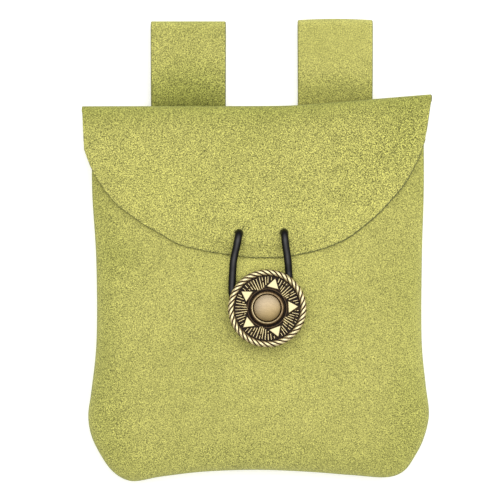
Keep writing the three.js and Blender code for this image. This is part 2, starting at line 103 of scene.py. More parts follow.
def smooth_curve(points: np.ndarray) -> np.ndarray:
    """Centripetal Catmull-Rom curve: cubic spans with knots at the roots of the chord lengths.

    Args:
        points: Points that the curve goes through, one row each.

    Returns:
        The curve's points, with the last one.
    """
    held = np.vstack([2 * points[0] - points[1], points, 2 * points[-1] - points[-2]])
    p0, p1, p2, p3 = held[:-3], held[1:-2], held[2:-1], held[3:]
    d0, d1, d2 = (
        np.sqrt(np.linalg.norm(b - a, axis=1))[:, None] for a, b in ((p0, p1), (p1, p2), (p2, p3))
    )
    m1 = ((p1 - p0) / d0 - (p2 - p0) / (d0 + d1) + (p2 - p1) / d1) * d1
    m2 = ((p2 - p1) / d1 - (p3 - p1) / (d1 + d2) + (p3 - p2) / d2) * d1
    t = (np.arange(SPAN_STEPS) / SPAN_STEPS)[None, :, None]
    square = (3 * (p2 - p1) - 2 * m1 - m2)[:, None]
    cube = (2 * (p1 - p2) + m1 + m2)[:, None]
    spans = p1[:, None] + t * (m1[:, None] + t * (square + t * cube))
    return np.vstack([spans.reshape(-1, points.shape[1]), points[-1]])


def run_of(curve: np.ndarray) -> np.ndarray:
    """Length along a curve up to each of its points."""
    return np.concatenate([[0.0], np.cumsum(np.linalg.norm(np.diff(curve, axis=0), axis=1))])


def along(curve: np.ndarray, shares: np.ndarray) -> np.ndarray:
    """Points at shares of a curve's length.

    Args:
        curve: The curve's points.
        shares: Shares of its length, of any shape.

    Returns:
        A point for each share, in one more axis.
    """
    run = run_of(curve)
    place = np.asarray(shares) * run[-1]
    return np.stack([np.interp(place, run, curve[:, k]) for k in range(curve.shape[1])], axis=-1)


def unit(vectors: np.ndarray) -> np.ndarray:
    """Vectors at length 1."""
    return vectors / np.maximum(np.linalg.norm(vectors, axis=-1, keepdims=True), 1e-12)


def grid_quads(index: np.ndarray, around: bool = False) -> np.ndarray:
    """Four-sided facets of a grid of point numbers.

    Args:
        index: Point numbers, rows by columns.
        around: Whether the last column joins the first.

    Returns:
        Facets whose corners run along a row first, then to the next row.
    """
    if around:
        index = np.hstack([index, index[:, :1]])
    corners = (index[:-1, :-1], index[:-1, 1:], index[1:, 1:], index[1:, :-1])
    return np.stack(corners, axis=-1).reshape(-1, 4)


def open_edges(quads: np.ndarray, count: int) -> np.ndarray:
    """Edges that only one of these facets has.

    Args:
        quads: The facets.
        count: How many points there are.

    Returns:
        Both point numbers of each edge, in its facet's order.
    """
    edges = np.vstack([quads[:, [k, (k + 1) % 4]] for k in range(4)])
    keys = edges.min(1) * count + edges.max(1)
    _, where, times = np.unique(keys, return_inverse=True, return_counts=True)
    return edges[times[where] == 1]


def strips(levels: Sequence[np.ndarray]) -> np.ndarray:
    """Facets between edges at one level and the same edges at the next.

    Args:
        levels: Both point numbers of each edge, level by level.

    Returns:
        Facets that run along the edge at a level, then back along it at the next.
    """
    return np.vstack([np.hstack([a, b[:, ::-1]]) for a, b in zip(levels, levels[1:])])


def tube_frames(path: np.ndarray) -> tuple[np.ndarray, np.ndarray]:
    """Two directions across a path that turn with it and don't twist.

    Each step takes out of the last direction its part along the new tangent.

    Args:
        path: Points of the path.

    Returns:
        Both unit directions at each point.
    """
    tangents = unit(np.gradient(path, axis=0))
    start = np.cross(tangents[0], (0.0, 0.0, 1.0))
    side = unit(start if np.linalg.norm(start) > 0.1 else np.cross(tangents[0], (1.0, 0.0, 0.0)))
    sides = []
    for tangent in tangents:
        side = unit(side - np.dot(side, tangent) * tangent)
        sides.append(side)
    first = np.array(sides)
    return first, np.cross(tangents, first)


@dataclass
class Shell:
    """A surface of numbered points and four-sided facets that face outwards, in millimetres."""

    points: np.ndarray
    quads: np.ndarray
    marks: dict[str, np.ndarray] = field(default_factory=dict)

    def normals(self) -> np.ndarray:
        """Direction at each point: the sum of the crosses of its facets' diagonals.

        Returns:
            A unit direction for each point.
        """
        a, b, c, d = (self.points[self.quads[:, k]] for k in range(4))
        faces = np.cross(c - a, d - b)
        total = np.zeros_like(self.points)
        for k in range(4):
            np.add.at(total, self.quads[:, k], faces)
        return unit(total)

    def made(self, name: str, material: bpy.types.Material, slot: Slot) -> bpy.types.Object:
        """Puts the shell into the scene as a smooth piece that rides on the pouch's one body.

        Args:
            name: The piece's name.
            material: Its finish.
            slot: The record's material slot; not used.

        Returns:
            The new object, at the origin with its place in its mesh.
        """
        mesh = bpy.data.meshes.new(name)
        mesh.vertices.add(len(self.points))
        mesh.vertices.foreach_set("co", (self.points * MM).astype(np.float32).ravel())
        mesh.loops.add(self.quads.size)
        mesh.loops.foreach_set("vertex_index", self.quads.astype(np.int32).ravel())
        mesh.polygons.add(len(self.quads))
        mesh.polygons.foreach_set("loop_start", np.arange(0, self.quads.size, 4, dtype=np.int32))
        mesh.polygons.foreach_set("use_smooth", np.ones(len(self.quads), dtype=bool))
        mesh.update(calc_edges=True)
        for mark, values in self.marks.items():
            attribute = mesh.attributes.new(mark, "FLOAT", "POINT")
            attribute.data.foreach_set("value", values.astype(np.float32))
        work = bmesh.new()
        work.from_mesh(mesh)
        bmesh.ops.remove_doubles(work, verts=work.verts, dist=MERGE_REACH)
        work.to_mesh(mesh)
        work.free()
        mesh.validate()
        mesh.materials.append(material)
        piece = bpy.data.objects.new(name, mesh)
        bpy.context.scene.collection.objects.link(piece)
        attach(piece, BODY)
        triangles = sum(len(p.vertices) - 2 for p in mesh.polygons)
        log.info("%s: %d points, %d triangles", name, len(mesh.vertices), triangles)
        return piece


def tube(path: np.ndarray, radius: np.ndarray | float, sides: int, closed: bool = False) -> Shell:
    """A round tube: path + radius * (cos a * one side + sin a * the other), with closed ends.

    Args:
        path: Points of the middle line.
        radius: Its radius, at each point or one for all.
        sides: Facets round it.
        closed: Whether the path is a loop.

    Returns:
        The tube. A last ring of no radius closes each end unless it is a loop.
    """
    one, two = tube_frames(path)
    radii = np.broadcast_to(np.asarray(radius, float), (len(path),))
    if not closed:
        ends = [0, *range(len(path)), len(path) - 1]
        path, one, two, radii = path[ends], one[ends], two[ends], radii[ends].copy()
        radii[[0, -1]] = 0.0
    angle = 2 * np.pi * np.arange(sides) / sides
    ring = np.cos(angle)[None, :, None] * one[:, None] + np.sin(angle)[None, :, None] * two[:, None]
    points = path[:, None] + radii[:, None, None] * ring
    index = np.arange(len(path) * sides).reshape(len(path), sides)
    if closed:
        index = np.vstack([index, index[:1]])
    quads = grid_quads(index, around=True)
    return Shell(points.reshape(-1, 3), quads)


def stitches(places: np.ndarray, directions: np.ndarray, ups: np.ndarray, size: "Stitch") -> Shell:
    """Short rounded stitches, each a bent capsule that dips at both ends.

    A point is place + along * s + up * (radius * cos a - dip * s^2) + side * radius * sin a, where
    the radius shrinks to nothing at the ends as a half circle does.

    Args:
        places: Middle of each stitch.
        directions: Unit direction of each.
        ups: Unit direction away from the leather.
        size: Sizes of one stitch.

    Returns:
        All the stitches as one shell.
    """
    stations, sides = 9, 8
    s = -np.cos(np.pi * np.arange(stations) / (stations - 1))
    radius = size.radius * np.sqrt(np.maximum(0, 1 - np.abs(s) ** 4))
    angle = 2 * np.pi * np.arange(sides) / sides
    side = np.cross(directions, ups)
    run = (s * size.length / 2)[None, :, None, None] * directions[:, None, None]
    rise = radius[:, None] * np.cos(angle) - size.dip * (s**2)[:, None]
    across = radius[:, None] * np.sin(angle)
    points = (
        places[:, None, None]
        + run
        + rise[None, :, :, None] * ups[:, None, None]
        + across[None, :, :, None] * side[:, None, None]
    )
    index = np.arange(stations * sides).reshape(stations, sides)
    quads = grid_quads(index, around=True)
    offsets = np.arange(len(places)) * stations * sides
    return Shell(points.reshape(-1, 3), (quads[None] + offsets[:, None, None]).reshape(-1, 4))


# Finishes


@dataclass(frozen=True)
class Link:
    """A socket of a material, with arithmetic on numbers that adds Math nodes."""

    nodes: "Nodes"
    socket: bpy.types.NodeSocket

    def math(self, operation: str, *values: "Link | float") -> "Link":
        """The result of a Math node on these values."""
        inputs = dict(enumerate(values))
        return self.nodes.add("ShaderNodeMath", {"operation": operation}, inputs)

    def __add__(self, other: "Link | float") -> "Link":
        """Sum."""
        return self.math("ADD", self, other)

    __radd__ = __add__

    def __sub__(self, other: "Link | float") -> "Link":
        """Difference."""
        return self.math("SUBTRACT", self, other)

    def __rsub__(self, other: "Link | float") -> "Link":
        """Difference from a number."""
        return self.math("SUBTRACT", other, self)

    def __mul__(self, other: "Link | float") -> "Link":
        """Product."""
        return self.math("MULTIPLY", self, other)

    __rmul__ = __mul__

    def held(self) -> "Link":
        """The value held between 0 and 1."""
        return self.math("MINIMUM", self.math("MAXIMUM", self, 0.0), 1.0)


class Nodes:
    """The node tree of one finish."""

    TURN = (0.45, 0.35, 0.2)  # radians, so that no flat leather lies level in a noise

    def __init__(self, name: str) -> None:
        """Starts an empty material.

        Args:
            name: Its name.
        """
        self.material = bpy.data.materials.new(name)
        self.material.use_nodes = True
        self.material.node_tree.nodes.clear()

    def add(
        self,
        kind: str,
        settings: dict[str, Any] | None = None,
        inputs: dict[int | str, Any] | None = None,
        output: int = 0,
    ) -> Link:
        """Adds a node.

        Args:
            kind: Its type.
            settings: Its properties, such as a Math node's operation, set first.
            inputs: A number, colour or link for each socket, by name or number.
            output: Which output to give back.

        Returns:
            That output.
        """
        tree = self.material.node_tree
        node = tree.nodes.new(kind)
        for key, value in (settings or {}).items():
            setattr(node, key, value)
        for key, value in (inputs or {}).items():
            if isinstance(value, Link):
                tree.links.new(value.socket, node.inputs[key])
            else:
                node.inputs[key].default_value = value
        return Link(self, node.outputs[output] if node.outputs else None)

    def place(self) -> Link:
        """Object coordinates, in metres, turned a little."""
        inputs = {"Vector": self.add("ShaderNodeTexCoord", output=3), "Rotation": self.TURN}
        return self.add("ShaderNodeMapping", None, inputs)

    def mark(self, name: str) -> Link:
        """The piece's own number at each point, by name."""
        return self.add("ShaderNodeAttribute", {"attribute_name": name}, output=2)

    def noise(self, place: Link, size: float, detail: float = 2.0, rough: float = 0.55) -> Link:
        """Noise from 0 to 1 whose spots are about that many millimetres apart."""
        inputs = {"Vector": place, "Scale": 1 / (size * MM), "Detail": detail, "Roughness": rough}
        return self.add("ShaderNodeTexNoise", None, inputs)

    def blend(self, share: Link | float, a: Any, b: Any) -> Link:
        """Mix of two colours: a + (b - a) * share.

        Args:
            share: How much of the second colour.
            a: The first colour, or a link to one.
            b: The second.

        Returns:
            The mixed colour.
        """
        colours = [c if isinstance(c, Link) else (*c, 1.0) for c in (a, b)]
        inputs = {0: share, 6: colours[0], 7: colours[1]}
        return self.add("ShaderNodeMix", {"data_type": "RGBA"}, inputs, output=2)

    def lit(self, colour: Link, strength: Link | float) -> Link:
        """A colour times a number."""
        settings = {"operation": "SCALE"}
        return self.add("ShaderNodeVectorMath", settings, {0: colour, "Scale": strength})

    def bump(self, height: Link, depth: float) -> Link:
        """Normals of a surface with this relief, from 0 to 1, that many millimetres deep."""
        return self.add("ShaderNodeBump", None, {"Height": height, "Distance": depth * MM})

    def finish(self, **sockets: Any) -> bpy.types.Material:
        """Ends the tree in one shader.

        Args:
            sockets: Values and links of the shader's sockets, with _ for a space in their names.

        Returns:
            The material.
        """
        named = {key.replace("_", " "): value for key, value in sockets.items()}
        shader = self.add("ShaderNodeBsdfPrincipled", None, named)
        self.add("ShaderNodeOutputMaterial", None, {"Surface": shader})
        return self.material


@dataclass(frozen=True)
class Suede:
    """Napped suede: short swirled pile in two close tones, larger clouds, and darker cut edges."""

    name: str = "green_suede"
    pile: tuple[float, float, float] = (0.565, 0.54, 0.163)
    deep: tuple[float, float, float] = (0.48, 0.465, 0.13)
    cut: tuple[float, float, float] = (0.25, 0.255, 0.095)
    inside: tuple[float, float, float] = (0.46, 0.45, 0.18)
    handled_and_shaded: tuple[float, float, float] = (0.49, 0.51, 0.105)
    fine_size: float = 0.42
    coarse_size: float = 1.1
    fleck_size: float = 4.5
    cloud_size: float = 26.0
    fine_grain: float = 2.9
    coarse_grain: float = 0.12
    fleck_grain: float = 0.16
    darkest: float = 0.3
    shade_hue_gain: float = 2.4
    relief: float = 0.07

    def material(self) -> bpy.types.Material:
        """Makes the finish. Marks read: shade, nap, cut and inner.

        Brightness is (1 + the weighed sum of grains and fleck) * (1 + shade), and the nap mark
        makes the grain stronger or weaker. The shade mark holds the suede's own darker and lighter
        patches together with painted shade and painted light; where it is below 0 the hue also
        turns a deeper green, so that painted shade is greener as well as darker.

        Returns:
            The material.
        """
        nodes = Nodes(self.name)
        place = nodes.place()
        fine = nodes.noise(place, self.fine_size, 1.0, 0.6)
        coarse = nodes.noise(place, self.coarse_size, 2.0, 0.6)
        fleck = nodes.noise(place, self.fleck_size, 3.0, 0.6)
        cloud = nodes.noise(place, self.cloud_size, 4.0, 0.55)
        hue = nodes.blend((1.4 * cloud + 0.9 * fleck - 0.75).held(), self.deep, self.pile)
        shade = nodes.mark("shade")
        # Where shade is below 0 (darker patches, painted shade) the hue turns a deeper green.
        hue = nodes.blend((-self.shade_hue_gain * shade).held(), hue, self.handled_and_shaded)
        hue = nodes.blend(nodes.mark("inner"), hue, self.inside)
        # The cut mark colours cut edges and paints a line of shade along the sewn seam's lip.
        hue = nodes.blend(nodes.mark("cut"), hue, self.cut)
        grain = self.fine_grain * (fine - 0.5) + self.coarse_grain * (coarse - 0.5)
        grain = grain * (1.0 + nodes.mark("nap"))
        grain = 1.0 + grain + self.fleck_grain * (fleck - 0.5)
        # Shade scales the brightness: the suede's own patches plus painted light and shade.
        bright = grain.math("MAXIMUM", grain, self.darkest) * (1.0 + shade)
        return nodes.finish(
            Base_Color=nodes.lit(hue, bright),
            Roughness=0.86 + 0.1 * fine,
            Normal=nodes.bump(0.85 * fine + 0.15 * coarse, self.relief),
            Specular_IOR_Level=0.2,
            Diffuse_Roughness=0.6,
            Sheen_Weight=0.18,
            Sheen_Roughness=0.45,
            Sheen_Tint=(0.9, 0.92, 0.6, 1.0),
        )


@dataclass(frozen=True)
class Thread:
    """Waxed linen thread dyed near the suede."""

    name: str = "sewing_thread"
    colour: tuple[float, float, float] = (0.3, 0.27, 0.1)
    dark_share: float = 0.7
    ply_size: float = 0.35
    wear_size: float = 5.0
    relief: float = 0.06

    def material(self) -> bpy.types.Material:
        """Makes the finish: two close tones mixed by wear, lit by the thread's ply.

        Returns:
            The material.
        """
        nodes = Nodes(self.name)
        place = nodes.place()
        ply = nodes.noise(place, self.ply_size, 2.0)
        worn = nodes.noise(place, self.wear_size, 2.0)
        colour = nodes.blend(worn, self.colour, tuple(self.dark_share * c for c in self.colour))
        return nodes.finish(
            Base_Color=nodes.lit(colour, 0.7 + 0.6 * ply),
            Roughness=0.55 + 0.2 * worn,
            Normal=nodes.bump(ply, self.relief),
            Specular_IOR_Level=0.4,
        )


@dataclass(frozen=True)
class CordLeather:
    """Round black leather lacing: smooth, waxed, with faint creases along and across."""

    name: str = "black_lacing"
    colour: tuple[float, float, float] = (0.003, 0.003, 0.003)
    painted_sheen: tuple[float, float, float] = (0.08, 0.078, 0.077)
    pore_size: float = 0.5
    wear_size: float = 3.5
    relief: float = 0.03

    def material(self) -> bpy.types.Material:
        """Makes the finish, with a greyer painted sheen where its mark is 1, on top of the cord.

        Returns:
            The material.
        """
        nodes = Nodes(self.name)
        place = nodes.place()
        pores = nodes.noise(place, self.pore_size, 3.0)
        wear = nodes.noise(place, self.wear_size, 3.0, 0.6)
        # Painted sheen: a greyer colour on top of the cord, broken up by the wear noise.
        share = nodes.mark("painted_sheen") * (0.45 + 1.1 * wear)
        return nodes.finish(
            Base_Color=nodes.blend(share.held(), self.colour, self.painted_sheen),
            Roughness=0.24 + 0.12 * wear + 0.08 * pores,
            Normal=nodes.bump(0.6 * pores + 0.4 * wear, self.relief),
            Specular_IOR_Level=0.1,
        )


@dataclass(frozen=True)
class AgedBrass:
    """Cast brass gone brown and black in its recesses, worn pale on what stands up."""

    name: str = "aged_brass"
    bright: tuple[float, float, float] = (0.84, 0.73, 0.42)
    satin: tuple[float, float, float] = (0.66, 0.54, 0.37)
    satin_shaded: tuple[float, float, float] = (0.46, 0.34, 0.155)
    bronze: tuple[float, float, float] = (0.26, 0.17, 0.085)
    patina: tuple[float, float, float] = (0.014, 0.009, 0.007)
    spot_size: float = 0.45
    cloud_size: float = 3.2
    streak_size: float = 1.6
    streak_run: tuple[float, float, float] = (0.5, 3.0, 1.0)
    level_shade: float = 0.28
    relief: float = 0.02

    def material(self) -> bpy.types.Material:
        """Makes the finish.

        Marks read: worn, 1 on tops worn bright and on the collar's painted highlight; satin, 1 on
        the dome; level, 1 on the flat triangles; and the dome's painted light, from 0 on its side
        away from the belt loops to 1 on its side towards them, which mixes a shaded and a lit copy
        of the satin colour.

        Returns:
            The material.
        """
        nodes = Nodes(self.name)
        place = nodes.place()
        spots = nodes.noise(place, self.spot_size, 3.0, 0.65)
        cloud = nodes.noise(place, self.cloud_size, 3.0, 0.6)
        worn = (nodes.mark("worn") + 0.5 * (spots - 0.5) + 0.25 * (cloud - 0.5)).held()
        lower = nodes.blend((2.2 * worn).held(), self.patina, self.bronze)
        metal = nodes.blend((2.0 * worn - 0.9).held(), lower, self.bright)
        settings = {"operation": "MULTIPLY"}
        drawn = nodes.add("ShaderNodeVectorMath", settings, {0: place, 1: self.streak_run})
        streaks = nodes.noise(drawn, self.streak_size, 3.0, 0.6)
        # Painted light on the dome: the lit satin colour towards the belt loops, the shaded copy
        # away.
        domed = nodes.blend(nodes.mark("painted_dome_light"), self.satin_shaded, self.satin)
        domed = nodes.lit(domed, 0.8 + 0.4 * streaks)
        satin = nodes.mark("satin")
        bright = (0.86 + 0.28 * spots) * (1.0 - self.level_shade * nodes.mark("level"))
        return nodes.finish(
            Base_Color=nodes.lit(nodes.blend(satin, metal, domed), bright),
            Roughness=0.56 - 0.18 * worn + 0.14 * (spots - 0.5) + 0.14 * satin,
            Metallic=(0.8 + 0.9 * worn).held(),
            Normal=nodes.bump(spots, self.relief),
        )


# The pouch's own form


@dataclass(frozen=True)
class PouchForm:
    """Sizes of the pouch and heights of its leather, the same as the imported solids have."""

    leather: float = 1.6
    gap: float = 0.3
    flap_gap: float = 0.5
    half_foot: float = 68.0
    body_length: float = 137.6
    mouth_top: float = 13.0
    belly_top: float = 19.7
    belly_place: float = 0.7
    foot_sink: float = 3.0
    crown: float = 2.5
    seam_share: float = 0.36
    squareness: float = 2.2
    half_flap: float = 70.0
    flap_length: float = 61.2
    fold_y: float = 57.6
    mouth_y: float = 45.6
    corner_lift: float = 4.8
    corner_lift_start: float = 14.0
    corner_softness: float = 0.12
    flap_droop: float = 3.5
    droop_start: float = 0.8
    back_lift: float = 3.8
    tail_end_y: float = 31.6
    lift_run: float = 30.0
    button_place: tuple[float, float] = (4.2, -23.8)
    button_pull: float = 0.06
    pull_reach: float = 10.0
    knot_room: float = 5.1
    knot_reach: float = 10.5
    knot_into_front: float = 0.72
    holes: tuple[tuple[float, float], ...] = ((-7.0, 6.9), (11.0, 7.1))
    softness: float = 0.32
    slanted_share: float = 0.45
    still_place: tuple[float, float] = (2.0, -8.0)
    still_reach: tuple[float, float] = (27.0, 40.0)
    still_mouth: float = 3.0
    still_run: float = 16.0

    def back_under(self, y: Any) -> np.ndarray:
        """Underside of the back: flat, and eased up by the loops' tails near the top."""
        lift_end = self.tail_end_y - self.gap
        return self.back_lift * ease((y - lift_end + self.lift_run) / self.lift_run)

    def back_face(self, x: Any, y: Any) -> np.ndarray:
        """Underside of the back at places across and along."""
        return self.back_under(y) + 0 * x

    def front_ridge(self, y: Any) -> np.ndarray:
        """Front's outer face on its middle line: eased from mouth to belly, then down again.

        Args:
            y: Places along.

        Returns:
            The height at each.
        """
        down = (self.mouth_y - y) / self.body_length
        upper = mix(self.mouth_top, self.belly_top, ease(down / self.belly_place))
        past = (down - self.belly_place) / (1 - self.belly_place)
        lower = self.belly_top - self.foot_sink * ease(past)
        return np.where(down < self.belly_place, upper, lower)

    def knot_press(self, x: Any, y: Any) -> np.ndarray:
        """How much of a knot's press is felt: exp(-(distance / reach)^3) of the nearer knot."""
        away = [np.hypot(x - hole[0], y - hole[1]) / self.knot_reach for hole in self.holes]
        return np.exp(-(np.minimum(*away) ** 3))

    def slack(self, x: Any, y: Any) -> np.ndarray:
        """Slight waves of worn leather: two products of sines, still near closure and fold.

        Args:
            x: Places across.
            y: Places along.

        Returns:
            How far the leather stands up or down.
        """
        (still_x, still_y), (wide, high) = self.still_place, self.still_reach
        straight = np.sin(x / 15.5 + 1.3) * np.sin(y / 21.0 + 0.4)
        slanted = self.slanted_share * np.sin(x / 7.9 - y / 17.0 - 0.8)
        waves = straight + slanted * np.cos(y / 9.6 + x / 40.0)
        still = np.exp(-((((x - still_x) / wide) ** 2 + ((y - still_y) / high) ** 2) ** 2))
        below = ease((self.mouth_y - self.still_mouth - y) / self.still_run)
        return self.softness * waves * (1 - still) * below

    def pulled(self, x: Any, y: Any) -> np.ndarray:
        """Tip of the leather under the button: a slope that fades as a bell curve."""
        dx, dy = x - self.button_place[0], y - self.button_place[1]
        return -self.button_pull * dy * np.exp(-(dx**2 + dy**2) / self.pull_reach**2 / 2)

    def front_top(self, x: Any, y: Any) -> np.ndarray:
        """Front's outer face: ridge less crown, the knots' press, the pull and the waves.

        Args:
            x: Places across.
            y: Places along.

        Returns:
            The height at each place.
        """
        sunk = self.crown * (x / self.half_foot) ** 2
        sunk = sunk + self.knot_room * self.knot_into_front * self.knot_press(x, y)
        return self.front_ridge(y) - sunk + self.pulled(x, y) + self.slack(x, y)

    def flap_under(self, x: Any, y: Any) -> np.ndarray:
        """Flap's underside: on the front, raised by the knots, drooping at its sides.

        Args:
            x: Places across.
            y: Places along.

        Returns:
            The height at each place.
        """
        past = (np.abs(x) / self.half_flap - self.droop_start) / (1 - self.droop_start)
        droop = self.flap_droop * np.maximum(0, past) ** 2
        rise = self.knot_room * (1 - self.knot_into_front) * self.knot_press(x, y)
        top = self.front_ridge(y) - self.crown * (x / self.half_foot) ** 2
        return top + self.flap_gap + rise - droop + self.slack(x, y)

    def fold_line(self, x: Any) -> np.ndarray:
        """Fold line along the top: straight, then a smooth rise to the right corner."""
        past = (x - self.corner_lift_start) / (self.half_flap - self.corner_lift_start)
        return self.fold_y + self.corner_lift * (past + np.hypot(past, self.corner_softness)) / 2

    def fold_section(self, x: Any) -> tuple[np.ndarray, np.ndarray, np.ndarray]:
        """The fold's round section, from the back's underside to the flap's outer face.

        Args:
            x: Places across.

        Returns:
            Where its middle lies along, its middle's height and its radius.
        """
        under = self.back_under(self.fold_y)
        guess = self.fold_line(x) - (self.mouth_top - under) / 2
        radius = (self.flap_under(x, guess) + self.leather - under) / 2
        return self.fold_line(x) - radius, under + radius, radius

    def seam_height(self, y: Any) -> np.ndarray:
        """Height of the side seam: a share of the way from the back to the front."""
        return mix(self.back_under(y), self.front_ridge(y), self.seam_share)


FORM = PouchForm()

SEAM = np.array([
    (-0.965, 0), (-0.965, 0.157), (-0.941, 0.36), (-0.941, 0.608), (-0.971, 0.744),
    (-0.988, 0.811), (-0.971, 0.866), (-0.918, 0.922), (-0.841, 0.974), (-0.741, 1),
    (-0.565, 0.988), (-0.329, 0.974), (0, 0.968), (0.318, 0.974), (0.553, 0.983),
    (0.788, 0.988), (0.871, 0.969), (0.925, 0.932), (0.976, 0.884), (1.012, 0.811),
    (0.994, 0.724), (0.971, 0.608), (0.971, 0.36), (0.982, 0.157), (0.982, 0),
])
SEAM_CORNERS = (8, 16)

FLAP_EDGE = np.array([
    (-0.983, 0.288), (-0.943, 0.405), (-0.886, 0.516), (-0.806, 0.634), (-0.686, 0.745),
    (-0.566, 0.83), (-0.429, 0.915), (-0.223, 0.967), (0.034, 1), (0.234, 0.98),
    (0.474, 0.895), (0.594, 0.804), (0.714, 0.68), (0.829, 0.529), (0.909, 0.373),
    (0.96, 0.222),
])


@dataclass(frozen=True)
class Patch:
    """A round patch where the suede is lighter or darker: its middle, reach and strength."""

    place: tuple[float, float]
    reach: tuple[float, float]
    strength: float


def patch_rows(*rows: tuple[float, ...]) -> tuple[Patch, ...]:
    """Patches from rows of x, y, reach along x, reach along y and strength."""
    return tuple(Patch(row[:2], row[2:4], row[4]) for row in rows)


# The flap's own lighter and darker patches; the row at (2, 0) is painted light over the cord's
# shadow.
FLAP_TONE_AND_LIGHT = patch_rows(
    (61, 50, 11, 16, -0.13), (50, 36, 14, 10, -0.04), (-40, 25, 20, 14, 0.06),
    (30, 10, 22, 9, 0.03), (55, 13, 11, 9, 0.09), (0, 46, 22, 8, -0.06),
    (4, 56, 20, 5, -0.04), (-66, 47, 6, 12, -0.05), (2, 0, 20, 6, 0.07),
)
# Own patches of front and back, with painted light and shade: the darker rows near both sides are
# painted shade, and the lighter rows at (2, -5), (-14, -12) and (4, -22) are painted light over the
# shadows of the flap's edge, the cord and the button.
BODY_TONE_AND_LIGHT = patch_rows(
    (-55, -2, 10, 7, -0.09), (-62, -46, 5, 20, -0.04), (-58, -70, 12, 14, -0.03),
    (58, -78, 12, 16, -0.04), (63, -44, 9, 30, -0.02), (60, -58, 10, 8, -0.05),
    (61, 8, 9, 12, 0.07), (5, -52, 34, 20, 0.04), (2, -5, 22, 7, 0.18),
    (-14, -12, 10, 14, 0.05), (4, -22, 20, 20, 0.08),
)
FLAP_NAP = patch_rows(
    (0, 30, 90, 60, 0.3), (48, 38, 16, 18, 0.42), (62, 48, 9, 12, 0.45),
    (-66, 45, 10, 14, 0.2),
)
BODY_NAP = patch_rows(
    (0, -30, 90, 80, -0.1), (-60, -10, 14, 30, 0.3), (-60, -66, 10, 16, 0.45),
    (-10, -85, 50, 9, 0.3), (62, -70, 9, 22, 0.3),
)
STRAP_NAP = {
    "belt_loop_left": patch_rows((-27, 64, 30, 12, 0.42)),
    "belt_loop_right": patch_rows((31, 62, 30, 7, 0.2), (31, 84, 30, 11, -0.45)),
}
# The loops' own patches with painted shade: their lower parts are darker where they run under the
# fold.
STRAP_TONE_AND_SHADE = {
    "belt_loop_left": patch_rows((-27, 60, 30, 12, -0.34), (-27, 90, 30, 5, -0.04)),
    "belt_loop_right": patch_rows((31, 62, 30, 7, -0.13), (31, 84, 30, 10, 0.1)),
}


def patch_sum(points: np.ndarray, places: Sequence[Patch]) -> np.ndarray:
    """Sum of the patches, strength * exp(-(dx / reach x)^2 - (dy / reach y)^2).

    Args:
        points: The points.
        places: The patches.

    Returns:
        How much lighter or darker each point is.
    """
    total = np.zeros(len(points))
    for wear in places:
        total += wear.strength * bump_at(points[:, 0], points[:, 1], wear.place, wear.reach)
    return total


def seam_curve() -> np.ndarray:
    """The sewn outline in the plane, from the left end of the mouth round the foot."""
    return smooth_curve(SEAM * (FORM.half_foot, -FORM.body_length) + (0, FORM.mouth_y))


def rim_shade(points: np.ndarray, strength: float = 0.1, reach: float = 12.0) -> np.ndarray:
    """Painted shade near the sewn outline: -strength * exp(-(distance / reach)^2).

    Args:
        points: The points.
        strength: How much darker the outline is.
        reach: How far from it the painted shade reaches.

    Returns:
        The shade at each point.
    """
    outline = seam_curve()[:: SPAN_STEPS // 5]
    away = np.linalg.norm(points[:, None, :2] - outline[None], axis=-1).min(axis=1)
    return -strength * np.exp(-((away / reach) ** 2))


# Leather pieces


@dataclass
class Wall:
    """Turns one outer face of leather into a closed wall with rounded edges.

    Thickness and the bulge of cut edges may differ from point to point. The marks of a cut are
    for a plain edge and a sewn one, first on the face's rim, then on the edge itself. On a sewn
    edge the mark is painted shade, a darker line along the seam's lip.
    """

    thickness: np.ndarray | float = 1.6
    cut_bulge: np.ndarray | float = 0.3
    seam_bulge: float = 0.75
    edge_rows: int = 6
    face_cut_and_seam_shade: tuple[float, float] = (0.2, 0.8)
    edge_cut_and_seam_shade: tuple[float, float] = (1.0, 0.6)

    def close(self, face: Shell, seam: np.ndarray, seam_out: np.ndarray) -> Shell:
        """Adds the inner face and the edges.

        The inner face is the outer one moved back along its normals. An edge row is the straight
        mix of both faces plus bulge * sqrt(1 - (2t - 1)^2) in the direction away from the face.

        Args:
            face: The outer face.
            seam: Numbers of the points along a sewn edge.
            seam_out: Level direction out of the bag at each of them.

        Returns:
            The wall, with marks cut and inner.
        """
        normals = face.normals()
        normals[seam] = seam_out
        count = len(face.points)
        inner = face.points - np.reshape(self.thickness, (-1, 1)) * normals
        rim = open_edges(face.quads, count)
        steps = face.points[rim[:, 1]] - face.points[rim[:, 0]]
        away = np.zeros_like(face.points)
        for k in range(2):
            np.add.at(away, rim[:, k], unit(np.cross(steps, normals[rim[:, k]])))
        on_rim = np.unique(rim)
        away = unit(away[on_rim])
        bulge = np.broadcast_to(self.cut_bulge, count)[on_rim].copy()
        bulge[np.isin(on_rim, seam)] = self.seam_bulge
        shares = (1 - np.cos(np.pi * np.arange(1, self.edge_rows) / self.edge_rows)) / 2
        rows = mix(face.points[on_rim][None], inner[on_rim][None], shares[:, None, None])
        swell = np.sqrt(1 - (2 * shares - 1) ** 2)
        rows = rows + swell[:, None, None] * bulge[None, :, None] * away[None]
        order = np.searchsorted(on_rim, rim)
        levels = [rim] + [2 * count + k * len(on_rim) + order for k in range(len(shares))]
        levels.append(rim + count)
        edge = strips(levels)[:, [1, 0, 3, 2]]
        quads = np.vstack([face.quads, face.quads[:, ::-1] + count, edge])
        points = np.vstack([face.points, inner, rows.reshape(-1, 3)])
        sewn = np.isin(on_rim, seam)
        cut = np.zeros(len(points))
        # Cut colour on plain edges; on sewn ones the same mark is painted shade along the seam's
        # lip.
        cut[on_rim] = np.where(sewn, *self.face_cut_and_seam_shade[::-1])
        cut[2 * count:] = np.tile(np.where(sewn, *self.edge_cut_and_seam_shade[::-1]), len(shares))
        within = np.zeros(len(points))
        within[count:2 * count] = 1.0
        return Shell(points, quads, {"cut": cut, "inner": within})


